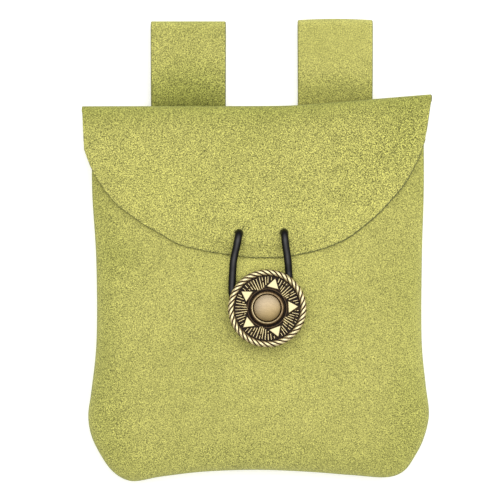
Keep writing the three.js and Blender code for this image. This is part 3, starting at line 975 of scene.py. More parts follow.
@dataclass
class BagOutline:
    """The side seam's outline, closer together at the lower corners."""

    side_steps: int = 74
    foot_steps: int = 132
    crowding: float = 0.25
    foot_crowding: float = 0.25 / 9
    near: float = 2e-4
    corner_reach: float = 10.0

    def rows(self) -> tuple[np.ndarray, np.ndarray, np.ndarray]:
        """Works out the outline from the left end of the mouth round the foot.

        The gentle direction is a bell-weighted mean of the directions nearby, so that it is
        shorter at a corner and points that move in along it don't cross.

        Returns:
            Points in the plane, the unit direction into the bag at each, and the gentle one.
        """
        curve = seam_curve()
        run = run_of(curve)
        first, second = (run[k * SPAN_STEPS] / run[-1] for k in SEAM_CORNERS)
        t = np.arange(self.side_steps) / self.side_steps
        side = (1 - self.crowding) * t + self.crowding * np.sin(np.pi / 2 * t)
        t = np.arange(self.foot_steps) / self.foot_steps
        foot = t - self.foot_crowding * np.sin(2 * np.pi * t)
        right = np.append(side, 1.0)[::-1]
        shares = np.concatenate([
            first * side, first + (second - first) * foot, 1 - (1 - second) * right,
        ])
        before, after = np.maximum(shares - self.near, 0), np.minimum(shares + self.near, 1)
        tangent = unit(along(curve, after) - along(curve, before))
        inward = np.column_stack([-tangent[:, 1], tangent[:, 0]])
        place = shares * run[-1]
        weight = np.exp(-(((place[:, None] - place) / self.corner_reach) ** 2))
        weight *= np.gradient(place)
        gentle = weight @ inward / weight.sum(axis=1, keepdims=True)
        return along(curve, shares), inward, gentle


@dataclass
class BagSide:
    """One side of the bag: rings that round up from the seam, and a grid inside them."""

    surface: Callable[[Any, Any], np.ndarray]
    round_width: float
    ring_steps: int
    seam_offset: float
    faces_up: bool
    outline: BagOutline = field(default_factory=BagOutline)
    lip_shade_depth: float = 0.3
    lip_reach: float = 0.4

    def inset(self) -> np.ndarray:
        """How far each ring stands in from the outline."""
        angle = np.pi / 2 * np.arange(self.ring_steps + 1) / self.ring_steps
        return self.round_width * (1 - np.cos(angle) ** (2 / FORM.squareness))

    def paint_lip_shade(self, shell: Shell) -> None:
        """Paints shade on the sewn lip: darker by depth * exp(-(inset / reach)^2).

        Args:
            shell: The wall, whose first points are the rings.
        """
        columns = 2 * self.outline.side_steps + self.outline.foot_steps + 1
        lip = np.repeat(np.exp(-((self.inset() / self.lip_reach) ** 2)), columns)
        shell.marks["shade"][: len(lip)] -= self.lip_shade_depth * lip

    def face(self) -> tuple[Shell, np.ndarray, np.ndarray, np.ndarray]:
        """Builds the outer face.

        Ring points stand width * (1 - cos^(2/n) a) in from the outline, and rise by sin^(2/n) a
        from the seam to the surface. The grid inside is the straight mix of its left, right and
        lower borders, laid on the surface.

        Returns:
            The face, its seam points, the way out of the bag at them, and its row along the mouth.
        """
        flat, inward, gentle = self.outline.rows()
        power = 2 / FORM.squareness
        angle = (np.pi / 2 * np.arange(self.ring_steps + 1) / self.ring_steps)[:, None]
        inset = self.inset()[:, None]
        move = mix(inward, gentle, (inset / self.round_width)[..., None]) * inset[..., None]
        x = flat[:, 0] + move[..., 0]
        y = np.minimum(FORM.mouth_y, flat[:, 1] + move[..., 1])
        low = FORM.seam_height(flat[:, 1]) + self.seam_offset
        z = mix(low[None], self.surface(x, y), np.sin(angle) ** power)
        rings = np.stack([x, y, z], axis=-1)
        ring_index = np.arange(rings.shape[0] * rings.shape[1]).reshape(rings.shape[:2])
        sides, foot = self.outline.side_steps, self.outline.foot_steps
        index = np.zeros((sides + 1, foot + 1), dtype=np.int64)
        inmost = ring_index[-1]
        index[:, 0] = inmost[: sides + 1]
        index[sides] = inmost[sides: sides + foot + 1]
        index[:, foot] = inmost[sides + foot:][::-1]
        index[:sides, 1:foot] = ring_index.size + np.arange(sides * (foot - 1)).reshape(sides, -1)
        border = rings[-1]
        left, lower = border[: sides + 1], border[sides: sides + foot + 1]
        right = border[sides + foot:][::-1]
        v = (np.arange(sides) / sides)[:, None, None]
        u = (np.arange(1, foot) / foot)[None, :, None]
        plan = (1 - u) * left[:sides, None] + u * right[:sides, None]
        plan = plan + v * (lower[None, 1:foot] - (1 - u) * lower[0] - u * lower[-1])
        plan[..., 2] = self.surface(plan[..., 0], plan[..., 1])
        points = np.vstack([rings.reshape(-1, 3), plan.reshape(-1, 3)])
        quads = np.vstack([grid_quads(ring_index), grid_quads(index)[:, ::-1]])
        if not self.faces_up:
            quads = quads[:, ::-1]
        out = np.column_stack([-inward, np.zeros(len(inward))])
        ends = ring_index[:-1, [0, -1]]
        mouth = np.concatenate([ends[:, 0], index[0], ends[::-1, 1]])
        return Shell(points, quads), ring_index[0], out, mouth


@dataclass
class FrontPanel:
    """The bulged front of the bag, with the hole for the button's shank under the button."""

    name: str = "front_leather"
    shoulder: float = 13.0
    ring_steps: int = 16
    hole_radius: float = 3.3
    hole_rings: int = 3
    flat_size: tuple[float, float] = (0.150, 0.147)
    flat_area: float = 0.0195

    def build(self, finish: bpy.types.Material) -> bpy.types.Object:
        """Builds and dresses the front.

        Args:
            finish: The suede.

        Returns:
            The front.
        """
        wall = Wall()
        offset = FORM.gap / 2 + wall.seam_bulge
        side = BagSide(FORM.front_top, self.shoulder, self.ring_steps, offset, True)
        face, seam, out, _ = side.face()
        opening = Opening(FORM.button_place, self.hole_radius, self.hole_rings)
        face = opening.cut(face, FORM.front_top)
        shell = wall.close(face, seam, out)
        # Own patches with painted light and shade, and painted shade near the sewn outline.
        shell.marks["shade"] = patch_sum(shell.points, BODY_TONE_AND_LIGHT) + rim_shade(shell.points)
        side.paint_lip_shade(shell)
        shell.marks["nap"] = patch_sum(shell.points, BODY_NAP)
        piece = shell.made(self.name, finish, Slot.SUEDE)
        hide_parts("front_panel")
        return piece


@dataclass
class Opening:
    """A round hole through a face, with rings of facets between it and the grid round it."""

    place: tuple[float, float]
    radius: float
    rings: int = 4
    pucker: float = 0.0
    pucker_reach: float = 1.2
    grid_reach: float = 1.75
    level_slack: float = 0.5

    def cut(self, face: Shell, surface: Callable[[Any, Any], np.ndarray]) -> Shell:
        """Cuts the hole.

        The facets within reach of the middle are left out. The border that stays is joined to
        the circle by rings, each a straight mix of border and circle laid on the surface.

        Args:
            face: A face whose facets lie nearly level round the hole.
            surface: Height of the face at a place.

        Returns:
            The face with the hole.
        """
        middle = np.array(self.place)
        centres = face.points[face.quads].mean(axis=1)
        off = np.abs(centres[:, 2] - surface(centres[:, 0], centres[:, 1]))
        away = np.abs(centres[:, :2] - middle).max(axis=1)
        gone = (away < self.grid_reach * self.radius) & (off < self.level_slack)
        count = len(face.points)
        rim = open_edges(face.quads[gone], count)
        border = np.unique(rim)
        turn = np.arctan2(*(face.points[border][:, :2] - middle).T[::-1])
        circle = middle + self.radius * np.column_stack([np.cos(turn), np.sin(turn)])
        shares = np.arange(1, self.rings + 1)[:, None, None] / self.rings
        plan = mix(face.points[border][None, :, :2], circle[None], shares)
        away = np.hypot(*(plan - middle).transpose(2, 0, 1)) - self.radius
        lift = self.pucker * np.exp(-((away / self.pucker_reach) ** 2))
        rows = np.dstack([plan, surface(plan[..., 0], plan[..., 1]) + lift])
        order = np.searchsorted(border, rim)
        levels = [rim] + [count + k * len(border) + order for k in range(self.rings)]
        quads = np.vstack([face.quads[~gone], strips(levels)])
        return Shell(np.vstack([face.points, rows.reshape(-1, 3)]), quads)


@dataclass
class BackAndFlap:
    """Back, fold and flap in one piece of suede, with the cord's two holes."""

    name: str = "back_and_flap_leather"
    curl: float = 9.0
    ring_steps: int = 12
    neck_steps: int = 8
    fold_steps: int = 22
    flap_steps: int = 60
    ragged: float = 0.13
    fray_waves: tuple[tuple[float, float, float], ...] = (
        (0.5, 0.63, 0.0), (0.3, 0.41, 1.0), (0.6, 2.3, 0.0),
    )
    side_trim: float = 0.5
    skive: float = 0.5
    skive_reach: float = 1.7
    settle_reach: float = 4.5
    settled_gap: float = 0.15
    most_settled: tuple[float, float] = (0.45, 2.5)
    knots_reach: float = 32.0
    end_fade: float = 25.0
    fold_fade: float = 3.0
    edge_bulges: tuple[float, float] = (0.25, 0.55)
    bulge_from: float = 5.0
    bulge_run: float = 35.0
    hole_radius: float = 1.75
    hole_rings: int = 4
    hole_pucker: float = 0.12
    flap_from: float = 9.0
    edge_shadow_line: float = 0.5
    length_trim: float = 0.9
    fold_shade_lines: tuple[tuple[float, float], ...] = ((0.18, 6.5), (0.08, 1.8), (0.16, 0.4))
    flat_size: tuple[float, float] = (0.150, 0.222)
    flat_area: float = 0.0285

    def flap_top(self, x: Any, y: Any) -> np.ndarray:
        """Outer face of the flap."""
        return FORM.flap_under(x, y) + FORM.leather

    def rows(self, mouth: np.ndarray) -> tuple[np.ndarray, np.ndarray]:
        """Works out the rows from the mouth over the fold to the flap's edge.

        The neck eases up from the mouth row, the fold is half a circle in section, and the flap
        is the straight mix of the fold line and the edge, laid on the flap's surface. Its rim is
        skived, by exp(-(distance to the edge / reach)^2), and settles on the front, by
        exp(-(distance / reach)^4) of the gap. The settling is held to a most, which is larger
        between the knots, and it fades out at the flap's two ends.

        Args:
            mouth: Points of the back's row along the mouth.

        Returns:
            Points, rows by columns, and the share of the skiving at each.
        """
        share = (mouth[:, 0] - mouth[0, 0]) / (mouth[-1, 0] - mouth[0, 0])
        half = FORM.half_flap - self.side_trim
        x = mix(-half, half, share)
        y, z, radius = FORM.fold_section(x)
        v = (np.arange(1, self.neck_steps + 1) / self.neck_steps)[:, None]
        neck_z = mix(mouth[:, 2], z - radius, ease(v))
        neck = np.stack([mix(mouth[:, 0], x, v), mix(mouth[:, 1], y, v), neck_z], -1)
        angle = np.pi * (np.arange(1, self.fold_steps + 1)[:, None] / self.fold_steps - 0.5)
        fold = np.stack([x + 0 * angle, y + radius * np.cos(angle), z + radius * np.sin(angle)], -1)
        size = (FORM.half_flap, self.length_trim - FORM.flap_length)
        edge = smooth_curve(FLAP_EDGE * size + (0, FORM.fold_y))
        end = along(edge, share)
        run = share * run_of(edge)[-1]
        fray = sum(part * np.sin(run / wave + start) for part, wave, start in self.fray_waves)
        v = (np.arange(1, self.flap_steps + 1) / self.flap_steps)[:, None]
        flap_x = mix(x, end[:, 0], v)
        flap_y = mix(y, end[:, 1] + self.ragged * fray, v)
        step = z + radius - self.flap_top(x, y)
        away = (1 - v) * (y - end[:, 1])
        rim = np.exp(-((away / self.skive_reach) ** 2))
        gap = FORM.flap_under(flap_x, flap_y) - FORM.front_top(flap_x, flap_y) - self.settled_gap
        most = mix(*self.most_settled, np.exp(-((flap_x / self.knots_reach) ** 2)))
        gap = np.clip(gap, 0, most) * ease(self.end_fade * np.minimum(share, 1 - share))
        settled = gap * np.exp(-((away / self.settle_reach) ** 4)) + self.skive * rim
        flap_z = self.flap_top(flap_x, flap_y) + step * (1 - ease(self.fold_fade * v)) - settled
        thinned = np.vstack([np.zeros((len(neck) + len(fold), len(share))), rim])
        return np.concatenate([neck, fold, np.stack([flap_x, flap_y, flap_z], -1)]), thinned

    def build(self, finish: bpy.types.Material) -> bpy.types.Object:
        """Builds and dresses the back, fold and flap.

        The flap's cut edge bulges more towards the right, where its line is darker in the photo.

        Args:
            finish: The suede.

        Returns:
            The piece.
        """
        wall = Wall()
        offset = -FORM.gap / 2 - wall.seam_bulge
        side = BagSide(FORM.back_face, self.curl, self.ring_steps, offset, False)
        face, seam, out, mouth = side.face()
        rows, thinned = self.rows(face.points[mouth])
        index = len(face.points) + np.arange(rows.shape[0] * rows.shape[1]).reshape(rows.shape[:2])
        quads = grid_quads(np.vstack([mouth, index]))[:, ::-1]
        face = Shell(np.vstack([face.points, rows.reshape(-1, 3)]), np.vstack([face.quads, quads]))
        for hole in FORM.holes:
            opening = Opening(hole, self.hole_radius, self.hole_rings, self.hole_pucker)
            face = opening.cut(face, self.flap_top)
        thickness = np.full(len(face.points), FORM.leather)
        thickness[index.ravel()] -= self.skive * thinned.ravel()
        right = ease((face.points[:, 0] - self.bulge_from) / self.bulge_run)
        shell = Wall(thickness, mix(*self.edge_bulges, right)).close(face, seam, out)
        on_flap = shell.points[:, 2] > self.flap_from
        flap, body = patch_sum(shell.points, FLAP_TONE_AND_LIGHT), patch_sum(shell.points, BODY_TONE_AND_LIGHT)
        # Painted shade along the fold, where the leather rolls away from the light: a broad band
        # and two narrower lines at its edge.
        below = FORM.fold_line(shell.points[:, 0]) - shell.points[:, 1]
        fold = sum(depth * np.exp(-((below / reach) ** 2)) for depth, reach in self.fold_shade_lines)
        # Painted shadow on the flap's cut edge, for the thin shadow line under the flap.
        rim = self.edge_shadow_line * on_flap * (shell.marks["cut"] > 0.9)
        shell.marks["shade"] = np.where(on_flap, flap, body + rim_shade(shell.points)) - fold - rim
        side.paint_lip_shade(shell)
        naps = [patch_sum(shell.points, places) for places in (FLAP_NAP, BODY_NAP)]
        shell.marks["nap"] = np.where(on_flap, *naps)
        piece = shell.made(self.name, finish, Slot.SUEDE)
        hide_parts("back_and_flap")
        return piece


@dataclass
class BeltLoop:
    """A strap folded in half, both tails under the back, sewn with a box of stitches."""

    node: str
    middle: float
    top_shift: float = 0.0
    arch: float = 0.0
    width: float = 29.9
    flare: float = 0.006
    rise: float = 34.4
    hollow: float = 5.2
    slope: float = 16.0
    thickness: float = 1.6
    spacing: float = 0.5
    across_steps: int = 44
    edge_steps: int = 6
    end_rounding: float = 0.8
    cut_rounding: float = 0.45
    cut_width: float = 0.4
    climb_from: float = 52.0
    sewn_inset: float = 3.6
    sewn_depth: float = 15.0
    groove: float = 0.28
    groove_reach: float = 0.8
    groove_level: float = 0.4
    thread_clear: float = 0.02
    top_fold_shade: tuple[float, float, float] = (0.2, 0.3, 0.5)
    flat_size: tuple[float, float] = (0.031, 0.124)

    def path(self) -> np.ndarray:
        """Middle line of the leather, along and up, from the lower tail's end to the upper one's.

        Returns:
            Points at even spacing, closer at the rounded ends: straight, half a circle,
            straight, an S and straight again.
        """
        half = self.thickness / 2
        turn = (self.hollow + 2 * self.thickness) / 2
        top = FORM.fold_y + self.rise
        rim = max(0.0, self.middle + self.width / 2)
        start = float(FORM.fold_section(np.array(rim))[0])
        angle = np.pi * (np.linspace(0, 1, 40) - 0.5)
        lower = 1.5 * self.thickness + FORM.gap
        upper = 2 * turn - half
        arc_y = top - turn + (turn - half) * np.cos(angle)
        arc_z = turn + (turn - half) * np.sin(angle)
        s = np.linspace(0, 1, 50)[:, None]
        bend = self.slope / 2
        corners = np.array([
            (start + self.slope, upper), (start + self.slope - bend, upper),
            (start + bend, lower), (start, lower),
        ])
        weights = np.hstack([(1 - s) ** 3, 3 * s * (1 - s) ** 2, 3 * s**2 * (1 - s), s**3])
        line = np.vstack([
            [(FORM.tail_end_y, half), (top - turn - self.spacing, half)],
            np.column_stack([arc_y, arc_z]),
            weights @ corners,
            [(FORM.tail_end_y, lower)],
        ])
        length = run_of(line)[-1]
        end = self.end_rounding
        ends = end * (1 - np.cos(np.linspace(0, np.pi / 2, self.edge_steps)[:-1]))
        middle = np.linspace(end, length - end, int(length / self.spacing))
        places = np.concatenate([ends, middle, (length - ends)[::-1]])
        return along(line, places / length)

    def stitch_lines(self) -> np.ndarray:
        """Corners of the sewn box on the tails, round and back to the first.

        Returns:
            Five points in the plane.
        """
        x = self.width / 2 - self.sewn_inset
        low = FORM.tail_end_y + self.sewn_inset
        high = low + self.sewn_depth
        corners = [(-x, low), (x, low), (x, high), (-x, high), (-x, low)]
        return np.array(corners) + (self.middle, 0)

    def build(self, finish: bpy.types.Material) -> bpy.types.Object:
        """Builds and dresses the strap.

        A point is path + side * across + normal * up, where across and up go once round a flat
        section with rounded cut edges, and the lower tail is drawn in along its stitches.

        Args:
            finish: The suede.

        Returns:
            The strap.
        """
        path = self.path()
        tangent = unit(np.gradient(path, axis=0))
        half, radius, rounding = self.width / 2, self.thickness / 2, self.cut_rounding
        flat = np.linspace(-1, 1, self.across_steps) * (half - rounding)
        bend = np.pi * (np.arange(1, self.edge_steps) / self.edge_steps - 0.5)
        right = np.column_stack([half - rounding + rounding * np.cos(bend), radius * np.sin(bend)])
        section = np.vstack([
            np.column_stack([flat, np.full(self.across_steps, -radius)]), right,
            np.column_stack([flat[::-1], np.full(self.across_steps, radius)]), -right,
        ])
        run = run_of(path)
        from_end = np.minimum(run, run[-1] - run) / self.end_rounding
        end = np.sqrt(np.maximum(0, 1 - (1 - np.minimum(from_end, 1)) ** 2))[:, None]
        top = FORM.fold_y + self.rise
        climb = ease((path[:, 0] - self.climb_from) / (top - self.climb_from))[:, None]
        wide = 1 + self.flare * climb
        x = self.middle + section[None, :, 0] * wide
        normal = np.column_stack([tangent[:, 1], -tangent[:, 0]])
        up = -section[None, :, 1] * end
        arch = self.top_shift + self.arch * (1 - (section[None, :, 0] / half) ** 2)
        y = path[:, :1] + normal[:, :1] * up + arch * climb**4
        z = path[:, 1:] + normal[:, 1:] * up
        points = np.stack([x, y, z], -1)
        points[..., 2] += self.drawn_in(points)
        index = np.arange(points[..., 0].size).reshape(points.shape[:2])
        quads = grid_quads(index, around=True)
        flat_points = points.reshape(-1, 3)
        cut = (np.abs(section[:, 0]) > half - self.cut_width).astype(float)
        cut = np.maximum(cut[None], (end < 0.99).astype(float))
        # Painted shade along the loop's top, where the strap bends away from the light.
        dark, place, reach = self.top_fold_shade
        down = flat_points[:, 1].max() - place - flat_points[:, 1]
        fold_shade = dark * np.exp(-((down / reach) ** 2))
        marks = {
            "cut": cut.ravel(),
            "inner": np.zeros(len(flat_points)),
            "shade": patch_sum(flat_points, STRAP_TONE_AND_SHADE[self.node]) - fold_shade,
            "nap": patch_sum(flat_points, STRAP_NAP[self.node]),
        }
        piece = Shell(flat_points, quads, marks).made(f"{self.node}_strap", finish, Slot.SUEDE)
        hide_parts(self.node)
        return piece

    def drawn_in(self, points: np.ndarray) -> np.ndarray:
        """How far the lower tail's underside is drawn up along its stitches.

        It is groove * exp(-(distance to the nearest stitch line / reach)^2).

        Args:
            points: Rows of points across the strap.

        Returns:
            The rise at each point.
        """
        corners = self.stitch_lines()
        nearest = np.full(points.shape[:2], np.inf)
        for a, b in zip(corners, corners[1:]):
            step, off = b - a, points[..., :2] - a
            share = np.clip((off @ step) / (step @ step), 0, 1)
            away = np.linalg.norm(off - share[..., None] * step, axis=-1)
            nearest = np.minimum(nearest, away)
        under = points[..., 2] < self.groove_level
        return np.where(under, self.groove * np.exp(-((nearest / self.groove_reach) ** 2)), 0)

    def sew(self, finish: bpy.types.Material, size: "Stitch") -> bpy.types.Object:
        """Sews the box of stitches on the lower tail, seen from behind.

        Args:
            finish: The thread.
            size: Sizes of a stitch.

        Returns:
            The stitches.
        """
        corners = self.stitch_lines()
        places, directions = [], []
        for a, b in zip(corners, corners[1:]):
            length = np.linalg.norm(b - a)
            count = int(length / size.pitch)
            shares = (np.arange(count) + 0.5) / count
            places.append(a + shares[:, None] * (b - a))
            directions.append(np.repeat([(b - a) / length], count, axis=0))
        flat = np.vstack(places)
        level = np.full((len(flat), 1), size.radius + self.thread_clear)
        ways = np.column_stack([np.vstack(directions), np.zeros(len(flat))])
        ups = np.repeat([(0.0, 0.0, -1.0)], len(flat), axis=0)
        shell = stitches(np.hstack([flat, level]), ways, ups, size)
        return shell.made(f"{self.node}_stitches", finish, Slot.SUEDE)


@dataclass(frozen=True)
class Stitch:
    """Sizes of one stitch, in millimetres."""

    length: float = 2.9
    pitch: float = 3.6
    radius: float = 0.27
    dip: float = 0.3


@dataclass
class SeamStitches:
    """The side seam's thread, seen between the lips of front and back where they meet."""

    name: str = "seam_stitches"
    size: Stitch = Stitch(length=1.5, pitch=3.4, radius=0.24, dip=0.25)
    depth: float = 0.34
    lean: float = 0.25

    def build(self, finish: bpy.types.Material) -> bpy.types.Object:
        """Sews the seam: upright stitches at even steps along the outline, inside the groove.

        Args:
            finish: The thread.

        Returns:
            The stitches.
        """
        curve = seam_curve()
        length = run_of(curve)[-1]
        count = int(length / self.size.pitch)
        shares = (np.arange(count) + 0.5) * self.size.pitch / length
        near = 1e-3
        tangent = unit(along(curve, shares + near) - along(curve, shares - near))
        out = np.column_stack([tangent[:, 1], -tangent[:, 0]])
        flat = along(curve, shares) - self.depth * out
        places = np.column_stack([flat, FORM.seam_height(flat[:, 1])])
        lean = np.column_stack([self.lean * tangent, np.ones(len(flat))])
        ups = np.column_stack([out, np.zeros(len(flat))])
        return stitches(places, unit(lean), ups, self.size).made(self.name, finish, Slot.SUEDE)


# Cord


@dataclass
class ClosureCord:
    """Round black lacing from under the flap, round the button's shank and back, and its knots."""

    name: str = "closure_lacing"
    radius: float = 1.5
    sides: int = 22
    steps: int = 300
    swell_waves: tuple[tuple[float, float, float], ...] = ((0.012, 2.9, 0.0), (0.008, 1.1, 1.0))
    sheen_power: int = 12
    knot_names: tuple[str, str] = ("cord_knot_left", "cord_knot_right")
    knot_strand: float = 1.12
    knot_width: float = 6.8
    knot_height: float = 4.4
    knot_steps: int = 150
    knot_sides: int = 14

    ROUTE = np.array([
        (-7.0, 6.9, 17.3), (-7.0, 6.9, 19.2), (-7.1, 6.2, 20.8), (-7.4, 4.4, 21.6),
        (-7.9, 1.8, 21.4), (-8.6, -1.2, 20.9), (-9.2, -4.6, 20.7), (-9.5, -8.6, 20.1),
        (-9.7, -12.6, 19.7), (-9.7, -16.4, 19.8), (-9.0, -20.3, 20.3), (-7.1, -24.0, 20.8),
        (-4.0, -27.0, 21.1), (0.0, -28.8, 21.3), (4.4, -29.0, 21.3), (8.5, -27.4, 21.1),
        (11.6, -24.2, 20.7), (13.2, -20.3, 20.2), (13.5, -16.4, 19.7), (13.1, -12.4, 19.3),
        (12.8, -8.6, 19.5), (12.5, -4.6, 20.5), (12.1, -1.2, 20.9), (11.6, 1.8, 21.4),
        (11.3, 4.6, 21.6), (11.1, 6.4, 20.8), (11.0, 7.1, 19.2), (11.0, 7.1, 17.3),
    ])

    def painted_sheen(self, shell: Shell) -> Shell:
        """Marks the painted sheen on top of the cord: a high power of how far each point faces up.
        """
        shell.marks["painted_sheen"] = np.maximum(0, shell.normals()[:, 2]) ** self.sheen_power
        return shell

    def knot(
        self, name: str, hole: Sequence[float], finish: bpy.types.Material
    ) -> bpy.types.Object:
        """A stopper knot pulled tight: a trefoil (sin t + 2 sin 2t, cos t - 2 cos 2t, -sin 3t).

        Args:
            name: The CAD node that it stands for.
            hole: The hole under which it sits.
            finish: The cord's finish.

        Returns:
            The knot.
        """
        strand, width, height = self.knot_strand, self.knot_width, self.knot_height
        t = 2 * np.pi * np.arange(self.knot_steps) / self.knot_steps
        flat = np.column_stack([np.sin(t) + 2 * np.sin(2 * t), np.cos(t) - 2 * np.cos(2 * t)])
        flat *= (width / 2 - strand) / np.abs(flat).max()
        middle = FORM.flap_under(hole[0], hole[1]) - FORM.gap - height / 2
        path = np.column_stack([flat, -(height / 2 - strand) * np.sin(3 * t)])
        shell = tube(path + (*hole[:2], middle), strand, self.knot_sides, closed=True)
        piece = self.painted_sheen(shell).made(f"{name}_lacing", finish, Slot.CORD)
        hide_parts(name)
        return piece

    def build(self, finish: bpy.types.Material) -> bpy.types.Object:
        """Builds and dresses the cord and its knots.

        Its thickness swells a little: 1 + the sum of part * sin(run / wave + start).

        Args:
            finish: The cord's finish.

        Returns:
            The cord.
        """
        path = along(smooth_curve(self.ROUTE), np.linspace(0, 1, self.steps))
        run = run_of(path)
        waves = (part * np.sin(run / wave + start) for part, wave, start in self.swell_waves)
        shell = tube(path, self.radius * sum(waves, 1.0), self.sides)
        cord = self.painted_sheen(shell).made(self.name, finish, Slot.CORD)
        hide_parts("closure_cord")
        holes = self.ROUTE[0], self.ROUTE[-1]
        knots = [self.knot(name, hole, finish) for name, hole in zip(self.knot_names, holes)]
        log.info("cord length %.1f mm", run[-1])
        return cord


# Button


@dataclass(frozen=True)
class Band:
    """A ring of wear on the button, its place and reach as shares of the button's radius."""

    amount: float
    place: float
    reach: float
    power: int = 2

    def at(self, share: np.ndarray) -> np.ndarray:
        """The band's wear at a share of the radius: amount * exp(-(distance / reach)^power)."""
        return self.amount * np.exp(-(((share - self.place) / self.reach) ** self.power))


@dataclass
class BrassButton:
    """Cast button: dome, collar, thin ring, rays, triangles, a border of rope, and a shank.

    Spans and places on its face are shares of its radius, and rises are shares of its relief.
    """

    name: str = "brass_button"
    radius: float = 15.8
    standoff: float = 4.6
    disc: float = 1.7
    shank: float = 3.0
    plate: float = 5.0
    plate_thickness: float = 1.2
    under_edge: float = 9.0
    relief: float = 0.7
    rope_share: float = 0.081
    rope_seat: float = 1.11
    field_from: float = 0.535
    relief_from: float = 0.445
    ring_span: tuple[float, float] = (0.52, 0.45)
    ring_rise: float = 0.45
    collar_span: tuple[float, float] = (0.405, 0.355)
    collar_level: float = 2.0
    collar_rise: float = 0.3
    collar_fall: float = 0.35
    groove_depth: float = 0.35
    dome_share: float = 0.335
    dome_edge: float = 0.333
    dome_rise: float = 2.2
    head_turn: float = 20.0
    dome_rings: int = 22
    groove_rings: int = 7
    crest_rings: int = 13
    slope_rings: int = 9
    thin_rings: int = 8
    field_rings: int = 46
    rope_rings: int = 40
    triangles: int = 5
    triangle_turn: float = 3.0
    triangle_shape: tuple[float, float, float] = (0.525, 0.795, 0.165)
    triangle_slope: tuple[float, float] = (0.3, 0.35)
    ray_seed: int = 7
    ray_count: int = 11
    ray_starts: tuple[float, float] = (0.47, 0.44)
    ray_end: float = 0.83
    ray_scatter: tuple[float, float] = (-0.009, 0.009)
    ray_widths: tuple[float, float] = (0.27, 0.36)
    ray_taper: tuple[float, float, float, float] = (1.2, 0.4, 0.54, 0.3)
    ray_clear: float = 0.015
    end_scatter: tuple[float, float] = (0.0, 0.02)
    end_run: float = 0.35
    parted_share: float = 0.4
    parted_at: tuple[float, float] = (0.62, 0.74)
    parted_shift: tuple[float, float] = (-0.6, 0.6)
    parted_depth: float = 0.9
    parted_reach: float = 0.22
    rises: tuple[float, float] = (0.85, 1.25)
    relief_end: float = 0.845
    relief_run: float = 0.4
    strand_seed: int = 11
    strands: int = 38
    strand_slant: int = 4
    strand_depth: float = 0.34
    strand_scatter: float = 0.05
    strand_power: float = 2.5
    lit_side: float = 215.0
    divisions: int = 600
    raised_wear: tuple[float, float] = (0.2, 0.4)
    crest_light: tuple[float, float] = (0.3, 0.5)
    rope_dark: tuple[float, float, float] = (1.3, 2.4, 0.77)
    rope_run: tuple[float, float] = (0.02, 0.62)
    ring_wear: Band = Band(0.28, 0.495, 0.008)
    crest_wear_and_highlight: Band = Band(0.5, 0.376, 0.02)
    bronze_wear: Band = Band(0.36, 0.385, 0.046, 4)
    groove_dark: Band = Band(0.95, 0.342, 0.008)

    def profile(self) -> tuple[np.ndarray, np.ndarray]:
        """Radius and height round the whole section, from the dome's middle to the plate's.

        Returns:
            Radius and height pairs, and the rope's turn angle at each, or nan off the rope.
        """
        rope = self.rope_share * self.radius
        ring = self.radius - self.rope_seat * rope
        field_z = self.standoff + self.disc
        outer, inner = (share * self.radius for share in self.ring_span)
        collar_out, collar_in = (share * self.radius for share in self.collar_span)
        dome = self.dome_share * self.radius
        collar_top = field_z + self.collar_level * self.relief
        foot = collar_top - self.collar_rise * self.relief
        angle = np.linspace(np.pi / 2, 0.02, self.dome_rings)
        groove = np.linspace(0, 1, self.groove_rings)[1:, None]
        crest = np.linspace(0, 1, self.crest_rings)[:, None]
        slope = np.linspace(0, 1, self.slope_rings)[1:, None]
        across = np.linspace(0, 1, self.thin_rings)[:, None]
        field_r = np.linspace(self.field_from * self.radius, ring - rope, self.field_rings)
        turn = np.linspace(np.pi, -0.45 * np.pi, self.rope_rings)
        swell = self.collar_rise * self.relief * np.sin(np.pi * np.minimum(crest, 0.5))
        collar_z = foot + swell - self.collar_fall * np.maximum(0, crest - 0.5)
        slope_z = mix(foot + 0.03, field_z, ease(slope) ** 0.7)
        thin_z = field_z + self.ring_rise * self.relief * np.sin(np.pi * across)
        parts = [
            np.column_stack([dome * np.cos(angle), foot + self.dome_rise * np.sin(angle)]),
            np.hstack([
                mix(dome, collar_in, groove), foot - self.groove_depth * np.sin(np.pi * groove),
            ]),
            np.hstack([mix(collar_in, collar_out, crest), collar_z]),
            np.hstack([mix(collar_out, inner, slope), slope_z]),
            np.hstack([mix(outer, inner, 1 - across), thin_z]),
            np.column_stack([field_r, np.full(len(field_r), field_z)]),
            np.column_stack([ring + rope * np.cos(turn), field_z + rope * np.sin(turn)]),
        ]
        under = self.standoff
        top = -(FORM.leather + FORM.gap)
        low = top - self.plate_thickness
        plain = np.array([
            (self.radius - 1.5 * rope, under + 0.15), (self.radius - 2.0 * rope, under),
            (self.under_edge, under), (self.shank + 0.7, under),
            (self.shank + 0.15, under - 0.2), (self.shank, under - 0.8),
            (self.shank, top), (self.plate - 0.2, top), (self.plate, top - 0.2),
            (self.plate, low + 0.2), (self.plate - 0.2, low), (0.0, low),
        ])
        points = np.vstack([*parts, plain])
        turns = np.full(len(points), np.nan)
        first = sum(len(part) for part in parts[:-1])
        turns[first: first + len(turn)] = turn
        return points, turns

